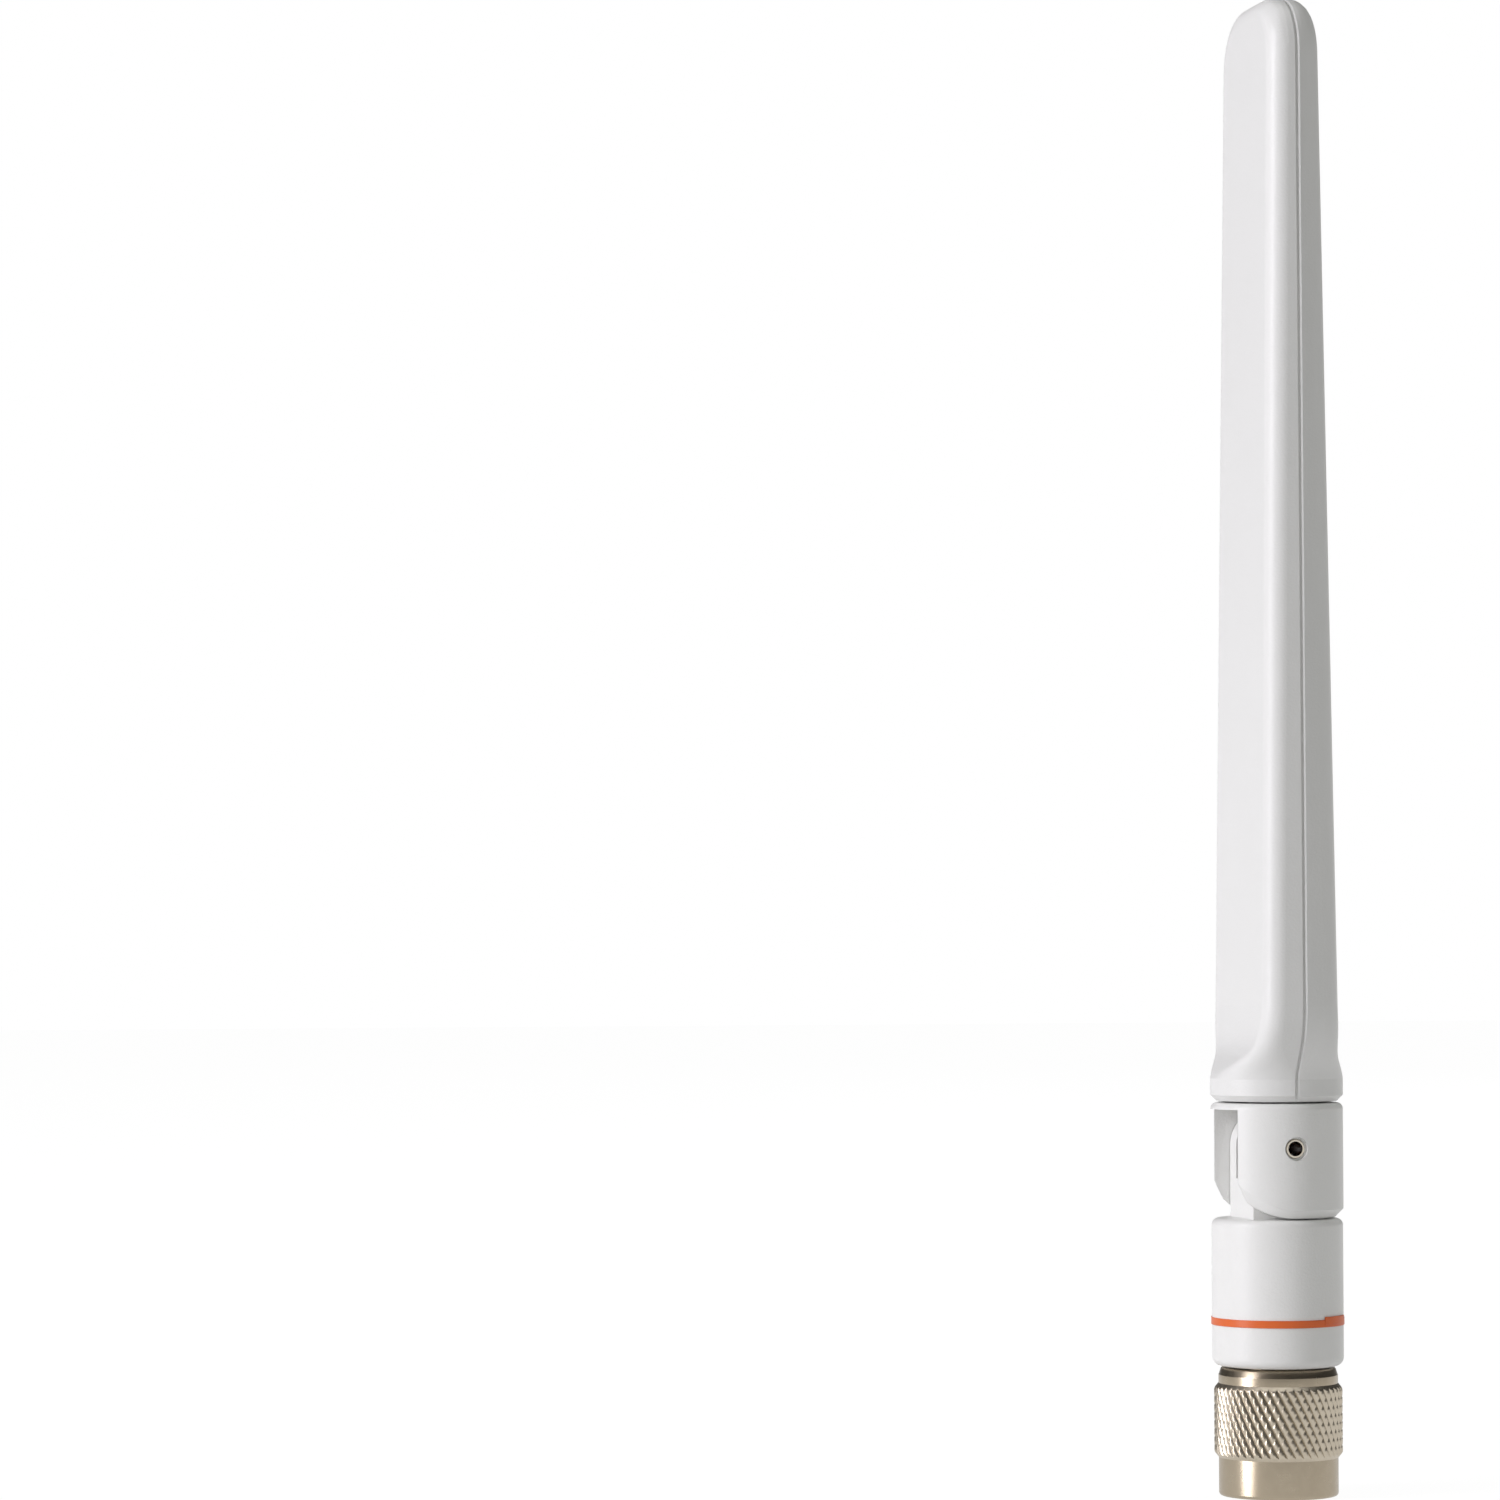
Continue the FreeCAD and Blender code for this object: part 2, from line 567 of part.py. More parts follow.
def blade_body(inset, low):
    """The blade above the flare: tapered both ways, with its long edges and tip rounded."""
    wide = 2 * BLADE_HALF_W
    body = Part.Face(blade_outline(inset, low, -wide)).extrude(V(2 * wide, 0, 0))
    foot, head = half_thickness(low) - inset, half_thickness(TOTAL_LENGTH) - inset
    side = Part.makePolygon([
        V(-foot, -wide, low), V(foot, -wide, low), V(head, -wide, TOTAL_LENGTH),
        V(-head, -wide, TOTAL_LENGTH), V(-foot, -wide, low)])
    body = body.common(Part.Face(side).extrude(V(0, 2 * wide, 0)))
    faces = sorted(body.Faces, key=lambda f: f.CenterOfMass.x)
    rims = [e for f in (faces[0], faces[-1]) for e in f.Edges if e.CenterOfMass.z > low + 1]
    return body.makeFillet(BLADE_CORNER_R - min(inset, BLADE_CORNER_R / 2), rims)


def flare_section(z, thick, width, corner):
    """Rounded oblong in the plane of height z."""
    flat_x, flat_y = thick - corner, width - corner
    turn = corner * math.sqrt(0.5)
    edges = []
    for sx, sy in ((1, 1), (-1, 1), (-1, -1), (1, -1)):
        on_face, on_edge = V(sx * thick, sy * flat_y, z), V(sx * flat_x, sy * width, z)
        middle = V(sx * (flat_x + turn), sy * (flat_y + turn), z)
        start, end = (on_face, on_edge) if sx == sy else (on_edge, on_face)
        edges.append(Part.Arc(start, middle, end).toShape())
        if sx == sy:
            edges.append(Part.makeLine(end, V(-end.x, end.y, z)))
        else:
            edges.append(Part.makeLine(end, V(end.x, -end.y, z)))
    return Part.Wire(edges)


def blade_outside():
    """The closed blade from its ring to its tip, still solid."""
    upper = blade_body(0, FLARE_TOP)
    foot = min(upper.Faces, key=lambda f: f.CenterOfMass.z).OuterWire
    ring_top = BLADE_Z + BLADE_RING_HEIGHT
    sections = [flare_section(ring_top + up, t, w, r) for up, t, w, r in FLARE_STATIONS]
    flare = Part.makeLoft(sections + [foot], True, False)
    ring = Part.Face(flare_section(BLADE_Z, *FLARE_STATIONS[0][1:])).extrude(
        V(0, 0, BLADE_RING_HEIGHT))
    wide = 2 * BARREL_R
    edge = BLADE_RING_CHAMFER
    bevel = lathe([(BARREL_R - edge, BLADE_Z), (wide, BLADE_Z), (wide, BLADE_Z + edge),
                   (BARREL_R, BLADE_Z + edge)])
    return ring.cut(bevel).fuse([flare, upper])


def half_of(solid):
    """The +X half."""
    wide = 2 * BLADE_HALF_W
    return solid.common(block(0, wide, -wide, wide, 0, TOTAL_LENGTH + 1)).removeSplitter()


def seam_rebate():
    """Shallow step round the edge of the +X half's seam face, half of the visible groove."""
    ring_top, wide = BLADE_Z + BLADE_RING_HEIGHT, 2 * BLADE_HALF_W
    side = [(width - SEAM_DEPTH, ring_top + up) for up, _, width, _ in FLARE_STATIONS]
    side.append((edge_width(FLARE_TOP, SEAM_DEPTH), FLARE_TOP))
    edges = []
    for way in (1, -1):
        curve = Part.BSplineCurve()
        curve.interpolate([V(0, way * y, z) for y, z in side])
        edges.append(curve.toShape())
    foot, head = side[0][0], side[-1][0]
    low = BLADE_Z - 1
    edges += [
        Part.makeLine(V(0, foot, ring_top), V(0, foot, low)),
        Part.makeLine(V(0, foot, low), V(0, -foot, low)),
        Part.makeLine(V(0, -foot, low), V(0, -foot, ring_top)),
        Part.makeLine(V(0, -head, FLARE_TOP), V(0, head, FLARE_TOP)),
    ]
    across = V(SEAM_HALF_WIDTH, 0, 0)
    kept_low = Part.Face(Part.Wire(Part.__sortEdges__(edges))).extrude(across)
    kept_high = Part.Face(blade_outline(SEAM_DEPTH, FLARE_TOP, 0)).extrude(across)
    slab = block(0, SEAM_HALF_WIDTH, -wide, wide, low, TOTAL_LENGTH + 1)
    return slab.cut(kept_low).cut(kept_high)


def lip_frame(near, far, x0, x1):
    """Frame that follows the blade's edge, between two distances from the outside."""
    low = FLARE_TOP + 2
    outer = Part.Face(blade_outline(near, low, x0)).extrude(V(x1 - x0, 0, 0))
    inner = Part.Face(blade_outline(far, low - 1, x0)).extrude(V(x1 - x0, 0, 0))
    return outer.cut(inner)


# Blade shell: one of the two halves, hollow, with ribs that hold the board
def blade_shell(has_lip):
    half = half_of(blade_outside())
    cavity = blade_body(WALL, FLARE_TOP + 1.5)
    ribs = []
    for middle in RIB_MIDDLES:
        z = middle - RIB_THICK / 2
        y = half_width(z) - WALL / 2
        x = half_thickness(z) - WALL / 2
        rib = block(BOARD_HALF_T + COPPER_THICK + SNUG, x, -y, y, z, z + RIB_THICK)
        way = block(0, 2 * JACKET_R + BOARD_HALF_T + 0.3, -JACKET_R - 0.2, JACKET_R + 0.2,
                    z - 1, z + RIB_THICK + 1)
        room = block(0, BOARD_HALF_T + MOULDED, -y, y, z - 1, z + RIB_THICK + 1)
        ribs.append(rib.cut(way).cut(room).common(cavity))
    shell = half.cut(seam_rebate()).cut(cavity).fuse(ribs)
    shell = shell.cut(neck(MOULDED)).cut(rod(CABLE_WAY_R, BLADE_Z, FLARE_TOP + 2))
    near, far = LIP_FROM_OUTSIDE, LIP_FROM_OUTSIDE + LIP_WIDTH
    if has_lip:
        return shell.fuse(lip_frame(near, far, -LIP_HEIGHT, 0.0))
    slack = MOULDED / 2
    return shell.cut(lip_frame(near - slack, far + slack, -0.01, LIP_HEIGHT + slack))


def circuit_board():
    return block(-BOARD_HALF_T, BOARD_HALF_T, -BOARD_HALF_W, BOARD_HALF_W, BOARD_LOW, BOARD_HIGH)


# Dipole arm: a bar at the feed, long outer tracks for the low band, short inner ones for
# the high band
def dipole_arm(way):
    near = FEED_Z + way * FEED_GAP / 2

    def track(y0, y1, start, length):
        a, b = near + way * start, near + way * (start + length)
        x0 = BOARD_HALF_T
        return block(x0, x0 + COPPER_THICK, y0, y1, min(a, b), max(a, b))

    w, t, inset = ARM_HALF_W, ARM_TRACK, HIGH_BAND_INSET
    bar = track(-w, w, 0, ARM_BAR)
    legs = [
        track(-w, -w + t, 0, LOW_BAND_ARM), track(w - t, w, 0, LOW_BAND_ARM),
        track(-w + inset, -w + inset + t, 0, HIGH_BAND_ARM),
        track(w - inset - t, w - inset, 0, HIGH_BAND_ARM),
    ]
    return bar.fuse(legs).removeSplitter()


def cable_jacket_hinge():
    return rod(JACKET_R, COLLAR_TOP, FORK_TOP)


def cable_jacket_upper():
    end = FEED_Z - CABLE_END_BELOW_FEED
    return stepped_rod(
        JACKET_R, 0, CABLE_X, FORK_TOP, FLARE_TOP + 1, end, CABLE_BEND_R)


def cable_dielectric_upper():
    end = FEED_Z - CABLE_END_BELOW_FEED
    return rod(DIELECTRIC_R, end, FEED_Z + FEED_GAP, CABLE_X)


def cable_wire_upper():
    start = FEED_Z + FEED_GAP
    rest = BOARD_HALF_T + COPPER_THICK + WIRE_R + SNUG
    return stepped_rod(WIRE_R, CABLE_X, rest, start, start + 0.1, start + 2.3, WIRE_BEND_R)


def solder(z, radius, height, held):
    """Low round fillet of solder on the copper, moulded round the pieces it holds."""
    face = BOARD_HALF_T + COPPER_THICK
    blob = Part.makeSphere(radius, V(face, 0, z))
    blob = blob.common(block(face, face + height, -radius, radius, z - radius, z + radius))
    for piece in held:
        blob = blob.cut(piece)
    return blob


def solder_ground():
    end = FEED_Z - CABLE_END_BELOW_FEED
    return solder(end + 0.2, 1.75, 1.3, [cable_jacket_upper(), cable_dielectric_upper()])


def solder_feed():
    z = FEED_Z + FEED_GAP + 1.5
    return solder(z, 0.8, 0.6, [cable_wire_upper(), cable_dielectric_upper()])


PARTS = {
    "coupling_nut": coupling_nut,
    "connector_body": connector_body,
    "insulator": insulator,
    "centre_contact": centre_contact,
    "nut_ring": nut_ring,
    "mating_gasket": mating_gasket,
    "swivel_o_ring": swivel_o_ring,
    "crimp_ferrule": crimp_ferrule,
    "cable_braid": cable_braid,
    "cable_dielectric_lower": cable_dielectric_lower,
    "cable_wire_lower": cable_wire_lower,
    "cable_jacket_lower": cable_jacket_lower,
    "swivel_collar": swivel_collar,
    "colour_band": colour_band,
    "cable_jacket_hinge": cable_jacket_hinge,
    "knuckle_fork": knuckle_fork,
    "hinge_pin_near": lambda: hinge_pin(-1),
    "hinge_pin_far": lambda: hinge_pin(1),
    "shell_back": lambda: blade_shell(True),
    "shell_fold": lambda: mirrored(blade_shell(False)),
    "circuit_board": circuit_board,
    "dipole_arm_lower": lambda: dipole_arm(-1),
    "dipole_arm_upper": lambda: dipole_arm(1),
    "cable_jacket_upper": cable_jacket_upper,
    "cable_dielectric_upper": cable_dielectric_upper,
    "cable_wire_upper": cable_wire_upper,
    "solder_ground": solder_ground,
    "solder_feed": solder_feed,
}

os.makedirs("parts", exist_ok=True)
for name, make in PARTS.items():
    shape = make()
    if not shape.isValid() or len(shape.Solids) != 1:
        raise ValueError(f"{name}: {len(shape.Solids)} solids, valid {shape.isValid()}")
    shape.Solids[0].exportStep(f"parts/{name}.step")
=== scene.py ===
import math

import bmesh
import bpy
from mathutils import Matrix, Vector


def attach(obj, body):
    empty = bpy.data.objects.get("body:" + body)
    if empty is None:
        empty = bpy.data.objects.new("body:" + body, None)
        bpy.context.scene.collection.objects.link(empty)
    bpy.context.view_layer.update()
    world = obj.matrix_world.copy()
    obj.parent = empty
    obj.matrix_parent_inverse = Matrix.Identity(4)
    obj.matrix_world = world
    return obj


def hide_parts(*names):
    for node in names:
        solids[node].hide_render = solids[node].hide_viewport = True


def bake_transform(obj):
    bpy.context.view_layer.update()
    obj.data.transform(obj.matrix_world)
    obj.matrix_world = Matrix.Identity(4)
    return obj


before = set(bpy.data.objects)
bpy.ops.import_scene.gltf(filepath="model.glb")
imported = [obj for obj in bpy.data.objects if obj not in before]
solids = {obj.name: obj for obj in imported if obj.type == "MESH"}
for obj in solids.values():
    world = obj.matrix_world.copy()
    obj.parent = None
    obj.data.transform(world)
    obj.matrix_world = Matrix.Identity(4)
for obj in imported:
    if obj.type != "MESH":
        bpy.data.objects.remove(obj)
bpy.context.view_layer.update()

# Plug body and its centre contact. Brass turned on a lathe and nickel plated: a thin contact
# sleeve in front, a shoulder, and the spigot that the nut and the collar turn on. The contact
# is gold plated and sits in a white insulator pressed into the body.
MM = 0.001
NICKEL = (0.48, 0.41, 0.31, 1)
NICKEL_STAIN = (0.4, 0.335, 0.245, 1)
TOOL_LINES_ROUND = 260
TOOL_LINES_ALONG = 9000
TOOL_LINE_HEIGHT = 0.02 * MM
TOOL_LINE_ROUGHNESS = 0.08
BATH_SPOTS = 900.0
BATH_SPOT_SOFTNESS = 0.6
BATH_SPOT_ROUGHNESS = 0.35
BATH_SPOT_HEIGHT = 0.25
BATH_CLOUDS = 160.0
MOULD_CLOUDS = 55.0
MOULD_CLOUD_ROUGHNESS = 0.12
MOULD_GRAIN_HEIGHT = 0.03 * MM
MOULD_EDGE_R = 0.12 * MM


def blank_material(name, roughness, metallic=0.0):
    """New material with its shader wired to the output; returns it, its tree and the shader."""
    material = bpy.data.materials.new(name)
    material.use_nodes = True
    tree = material.node_tree
    tree.nodes.clear()
    shader = tree.nodes.new("ShaderNodeBsdfPrincipled")
    shader.inputs["Roughness"].default_value = roughness
    shader.inputs["Metallic"].default_value = metallic
    output = tree.nodes.new("ShaderNodeOutputMaterial")
    tree.links.new(shader.outputs["BSDF"], output.inputs["Surface"])
    return material, tree, shader


def node_in(material, kind):
    """The one node of the given type in a material."""
    return next(node for node in material.node_tree.nodes if node.type == kind)


def feed(tree, node, name, value):
    """Wires a socket to a node's input, or sets the input where the value is a plain one."""
    if isinstance(value, bpy.types.NodeSocket):
        tree.links.new(value, node.inputs[name])
    else:
        node.inputs[name].default_value = value


def reckon(tree, operation, *terms):
    """Math node on the given sockets or numbers."""
    node = tree.nodes.new("ShaderNodeMath")
    node.operation = operation
    for place, term in enumerate(terms):
        feed(tree, node, place, term)
    return node.outputs[0]


def blank_group(name, takes, gives, kind="ShaderNodeTree"):
    """Node group with named input and output sockets; returns the tree and its two ends."""
    tree = bpy.data.node_groups.new(name, kind)
    for title, socket_type, value in takes:
        socket = tree.interface.new_socket(title, in_out="INPUT", socket_type=socket_type)
        if value is not None:
            socket.default_value = value
    for title, socket_type in gives:
        tree.interface.new_socket(title, in_out="OUTPUT", socket_type=socket_type)
    return tree, tree.nodes.new("NodeGroupInput"), tree.nodes.new("NodeGroupOutput")


def noise_at(tree, vector, scale, detail, softness=0.5):
    """Even noise from 0 to 1 at the given place."""
    node = tree.nodes.new("ShaderNodeTexNoise")
    feed(tree, node, "Vector", vector)
    feed(tree, node, "Scale", scale)
    node.inputs["Detail"].default_value = detail
    node.inputs["Roughness"].default_value = softness
    return node.outputs["Fac"]


def stretched_place(tree, x, y, z):
    """Object coordinates scaled apart along each axis, so that a grain runs one way."""
    place = tree.nodes.new("ShaderNodeTexCoord").outputs["Object"]
    node = tree.nodes.new("ShaderNodeMapping")
    tree.links.new(place, node.inputs["Vector"])
    node.inputs["Scale"].default_value = (x, y, z)
    return node.outputs["Vector"]


def blended(tree, share, first, second):
    """Colour that goes from the first to the second as the share goes from 0 to 1."""
    node = tree.nodes.new("ShaderNodeMix")
    node.data_type = "RGBA"
    # The Mix node's sockets share their names, so the share and the colours go by number.
    for socket, value in ((0, share), (6, first), (7, second)):
        feed(tree, node, socket, value)
    return node.outputs[2]


def relief(tree, height, strength, distance, edge=None):
    """Bump from a height, over edges that are softened to the given radius."""
    node = tree.nodes.new("ShaderNodeBump")
    feed(tree, node, "Height", height)
    feed(tree, node, "Strength", strength)
    node.inputs["Distance"].default_value = distance
    if edge:
        softened = tree.nodes.new("ShaderNodeBevel")
        softened.samples = 4
        softened.inputs["Radius"].default_value = edge
        tree.links.new(softened.outputs["Normal"], node.inputs["Normal"])
    return node.outputs["Normal"]


def turned_grain_group():
    """Fine tool lines round the axis, with a soft mottling from the plating bath."""
    tree, start, end = blank_group(
        "turned and plated",
        [("Colour", "NodeSocketColor", None), ("Stain", "NodeSocketColor", None),
         ("Roughness", "NodeSocketFloat", 0.3), ("Line Depth", "NodeSocketFloat", 0.3),
         ("Mottle", "NodeSocketFloat", 0.3)],
        [("Colour", "NodeSocketColor"), ("Roughness", "NodeSocketFloat"),
         ("Normal", "NodeSocketVector")])
    given = start.outputs
    round_axis = stretched_place(
        tree, TOOL_LINES_ROUND, TOOL_LINES_ROUND, TOOL_LINES_ALONG)
    lines = noise_at(tree, round_axis, 1.0, 3)
    place = stretched_place(tree, 1, 1, 1)
    bath = noise_at(tree, place, BATH_SPOTS, 4, BATH_SPOT_SOFTNESS)
    wide = noise_at(tree, place, BATH_CLOUDS, 2)
    spots = reckon(tree, "MULTIPLY", reckon(tree, "SUBTRACT", bath, 0.5), given["Mottle"])
    drift = reckon(tree, "MULTIPLY", wide, given["Mottle"])
    colour = blended(tree, reckon(tree, "ADD", drift, spots), given["Colour"], given["Stain"])
    rough = reckon(tree, "ADD", given["Roughness"],
                   reckon(tree, "MULTIPLY", spots, BATH_SPOT_ROUGHNESS))
    rough = reckon(tree, "ADD", rough, reckon(tree, "MULTIPLY", lines, TOOL_LINE_ROUGHNESS))
    height = reckon(tree, "ADD", lines, reckon(tree, "MULTIPLY", bath, BATH_SPOT_HEIGHT))
    feed(tree, end, "Colour", colour)
    feed(tree, end, "Roughness", rough)
    feed(tree, end, "Normal", relief(tree, height, given["Line Depth"], TOOL_LINE_HEIGHT))
    return tree


turned_grain = turned_grain_group()


def take_grain(tree, shader, group, values):
    """Gives the shader its colour, roughness and normal from a grain group."""
    grain = tree.nodes.new("ShaderNodeGroup")
    grain.node_tree = group
    for title, value in values.items():
        grain.inputs[title].default_value = value
    for source, target in (("Colour", "Base Color"), ("Roughness", "Roughness"),
                           ("Normal", "Normal")):
        tree.links.new(grain.outputs[source], shader.inputs[target])


def plated(name, colour, stain, roughness, line_depth, mottle):
    """Metal with tool lines and the mottling of its plating."""
    material, tree, shader = blank_material(name, roughness, metallic=1.0)
    take_grain(tree, shader, turned_grain, {
        "Colour": colour, "Stain": stain, "Roughness": roughness,
        "Line Depth": line_depth, "Mottle": mottle})
    return material


def moulded_grain_group():
    """Eroded mould texture with slow changes of tone, as on satin plastic and rubber."""
    tree, start, end = blank_group(
        "moulded grain",
        [("Colour", "NodeSocketColor", None), ("Shade", "NodeSocketColor", None),
         ("Roughness", "NodeSocketFloat", 0.4), ("Grain Size", "NodeSocketFloat", 0.0003),
         ("Grain Depth", "NodeSocketFloat", 0.2)],
        [("Colour", "NodeSocketColor"), ("Roughness", "NodeSocketFloat"),
         ("Normal", "NodeSocketVector")])
    given = start.outputs
    place = stretched_place(tree, 1, 1, 1)
    fine = noise_at(tree, place, reckon(tree, "DIVIDE", 1.0, given["Grain Size"]), 2)
    slow = noise_at(tree, place, MOULD_CLOUDS, 3)
    colour = blended(tree, slow, given["Colour"], given["Shade"])
    drift = reckon(tree, "MULTIPLY", reckon(tree, "SUBTRACT", slow, 0.5), MOULD_CLOUD_ROUGHNESS)
    rough = reckon(tree, "ADD", given["Roughness"], drift)
    feed(tree, end, "Colour", colour)
    feed(tree, end, "Roughness", rough)
    feed(tree, end, "Normal", relief(
        tree, fine, given["Grain Depth"], MOULD_GRAIN_HEIGHT, MOULD_EDGE_R))
    return tree


moulded_grain = moulded_grain_group()


def moulded(name, colour, shade, roughness, grain_size, grain_depth):
    """Plastic or rubber with the grain of its mould."""
    material, tree, shader = blank_material(name, roughness)
    take_grain(tree, shader, moulded_grain, {
        "Colour": colour, "Shade": shade, "Roughness": roughness,
        "Grain Size": grain_size, "Grain Depth": grain_depth})
    return material


def dress(material, *names):
    """Puts a material on the named solids."""
    for name in names:
        for place in solids[name].material_slots:
            place.material = material


nickel_turned = plated(
    "nickel plate, turned", NICKEL, NICKEL_STAIN, roughness=0.27, line_depth=0.35, mottle=0.35)
gold = plated(
    "gold plate", colour=(0.83, 0.6, 0.26, 1), stain=(0.7, 0.46, 0.17, 1),
    roughness=0.2, line_depth=0.15, mottle=0.3)
fluoropolymer = moulded(
    "white fluoropolymer", colour=(0.86, 0.86, 0.84, 1), shade=(0.8, 0.79, 0.75, 1),
    roughness=0.38, grain_size=0.5 * MM, grain_depth=0.15)
milky = node_in(fluoropolymer, "BSDF_PRINCIPLED").inputs
milky["Subsurface Weight"].default_value = 0.15
milky["Subsurface Radius"].default_value = (1.0 * MM, 0.9 * MM, 0.8 * MM)
milky["Subsurface Scale"].default_value = 1.0
dress(nickel_turned, "connector_body")
dress(gold, "centre_contact")
dress(fluoropolymer, "insulator")

# Small rings of the plug: the open bronze wire ring that keeps the nut on, the red silicone
# ring that the jack's shell is drawn against, and the black rubber ring whose squeeze gives
# the collar its drag.
bronze = plated(
    "spring bronze", colour=(0.62, 0.42, 0.25, 1), stain=(0.42, 0.27, 0.16, 1),
    roughness=0.34, line_depth=0.2, mottle=0.5)
silicone = moulded(
    "red silicone", colour=(0.5, 0.07, 0.045, 1), shade=(0.4, 0.05, 0.035, 1),
    roughness=0.5, grain_size=0.4 * MM, grain_depth=0.3)
nitrile = moulded(
    "black nitrile", colour=(0.022, 0.022, 0.022, 1), shade=(0.03, 0.03, 0.03, 1),
    roughness=0.42, grain_size=0.3 * MM, grain_depth=0.3)
dress(bronze, "nut_ring")
dress(silicone, "mating_gasket")
dress(nitrile, "swivel_o_ring")

# Coupling nut. Turned from brass, knurled between two bevels, cut with a 7/16-28 thread and
# nickel plated. The knurl's ridges lean one way and lighter grooves cross them.
NUT_STEPS = 368
NUT_R = 6.7 * MM
NUT_LENGTH = 14.35 * MM
NUT_BORE_R = 4.55 * MM
NUT_RELIEF_R = 5.7 * MM
NUT_BACK_WALL = 1.8 * MM
NUT_EDGE = 0.4 * MM
NUT_SLOPE_LOW = 13.5 * MM
NUT_SLOPE_IN = 0.3 * MM
NUT_BROW = 0.07 * MM
NUT_BROW_RUN = NUT_BROW * 2.2
NUT_BROW_SHARE = 0.2
KNURL_TEETH = 46
KNURL_R = 7.2 * MM
KNURL_FOOT_R = 6.72 * MM
KNURL_LOW = 4.3 * MM
KNURL_HIGH = 12.6 * MM
KNURL_ROWS = 73
KNURL_LEAD_ROWS = 16
KNURL_BEVEL_SLOPE = 0.8
RIDGE_DEPTH = 0.25 * MM
RIDGE_LAND = 0.12
RIDGE_CURVE = 1.4
CROSS_DEPTH = 0.11 * MM
CROSS_LAND = 0.5
THREAD_END = 7.0 * MM
THREAD_MAJOR_R = 5.556 * MM
THREAD_MINOR_R = 5.1 * MM
THREAD_PITCH = 25.4 / 28 * MM
THREAD_TURNS = 9
THREAD_ROWS = 7
THREAD_FLANK = 1.5
THREAD_MOUTH_SLOPE = 0.75
THREAD_BACK_SLOPE = 1.5
NUT_CREASE = 30
WELD = 0.002 * MM


def grid_tree(name, *sizes):
    """Geometry tree that starts from a unit grid; the caller bends it and closes the tree."""
    takes = [(size, "NodeSocketFloat", 0.0) for size in sizes]
    takes += [("Columns", "NodeSocketInt", 2), ("Rows", "NodeSocketInt", 2),
              ("Material", "NodeSocketMaterial", None)]
    tree, start, end = blank_group(
        name, takes, [("Geometry", "NodeSocketGeometry")], "GeometryNodeTree")
    grid = tree.nodes.new("GeometryNodeMeshGrid")
    grid.inputs["Size X"].default_value = 1
    grid.inputs["Size Y"].default_value = 1
    tree.links.new(start.outputs["Columns"], grid.inputs["Vertices X"])
    tree.links.new(start.outputs["Rows"], grid.inputs["Vertices Y"])
    place = tree.nodes.new("GeometryNodeInputPosition").outputs[0]
    parts = tree.nodes.new("ShaderNodeSeparateXYZ")
    tree.links.new(place, parts.inputs[0])
    across = reckon(tree, "ADD", parts.outputs["X"], 0.5)
    along = reckon(tree, "ADD", parts.outputs["Y"], 0.5)
    return tree, start.outputs, end, grid, across, along


def wrap_and_close(tree, given, end, grid, turn, radius, height, inward):
    """Moves the grid to the given turn, radius and height, welds it and gives its material."""
    spot = tree.nodes.new("ShaderNodeCombineXYZ")
    feed(tree, spot, "X", reckon(tree, "MULTIPLY", radius, reckon(tree, "COSINE", turn)))
    feed(tree, spot, "Y", reckon(tree, "MULTIPLY", radius, reckon(tree, "SINE", turn)))
    feed(tree, spot, "Z", height)
    corners = tree.nodes.new("GeometryNodeTriangulate")
    corners.quad_method = "FIXED"
    tree.links.new(grid.outputs["Mesh"], corners.inputs["Mesh"])
    bend = tree.nodes.new("GeometryNodeSetPosition")
    tree.links.new(corners.outputs["Mesh"], bend.inputs["Geometry"])
    tree.links.new(spot.outputs[0], bend.inputs["Position"])
    weld = tree.nodes.new("GeometryNodeMergeByDistance")
    weld.inputs["Distance"].default_value = WELD
    tree.links.new(bend.outputs["Geometry"], weld.inputs["Geometry"])
    shape = weld.outputs["Geometry"]
    if inward:
        turned = tree.nodes.new("GeometryNodeFlipFaces")
        tree.links.new(shape, turned.inputs["Mesh"])
        shape = turned.outputs["Mesh"]
    whole = tree.nodes.new("GeometryNodeRealizeInstances")
    tree.links.new(shape, whole.inputs["Geometry"])
    coat = tree.nodes.new("GeometryNodeSetMaterial")
    tree.links.new(whole.outputs["Geometry"], coat.inputs["Geometry"])
    tree.links.new(given["Material"], coat.inputs["Material"])
    tree.links.new(coat.outputs["Geometry"], end.inputs["Geometry"])


def groove(tree, place, depth, land, curve):
    """Depth of a row of grooves, one to each whole number, with a flat land between them."""
    off = reckon(tree, "ABSOLUTE", reckon(tree, "SUBTRACT", place, reckon(tree, "ROUND", place)))
    share = reckon(tree, "SUBTRACT", reckon(tree, "MULTIPLY", off, 2.0), land)
    share = reckon(tree, "DIVIDE", share, reckon(tree, "SUBTRACT", 1.0, land))
    share = reckon(tree, "POWER", reckon(tree, "MAXIMUM", share, 0.0), curve)
    return reckon(tree, "MULTIPLY", share, depth)


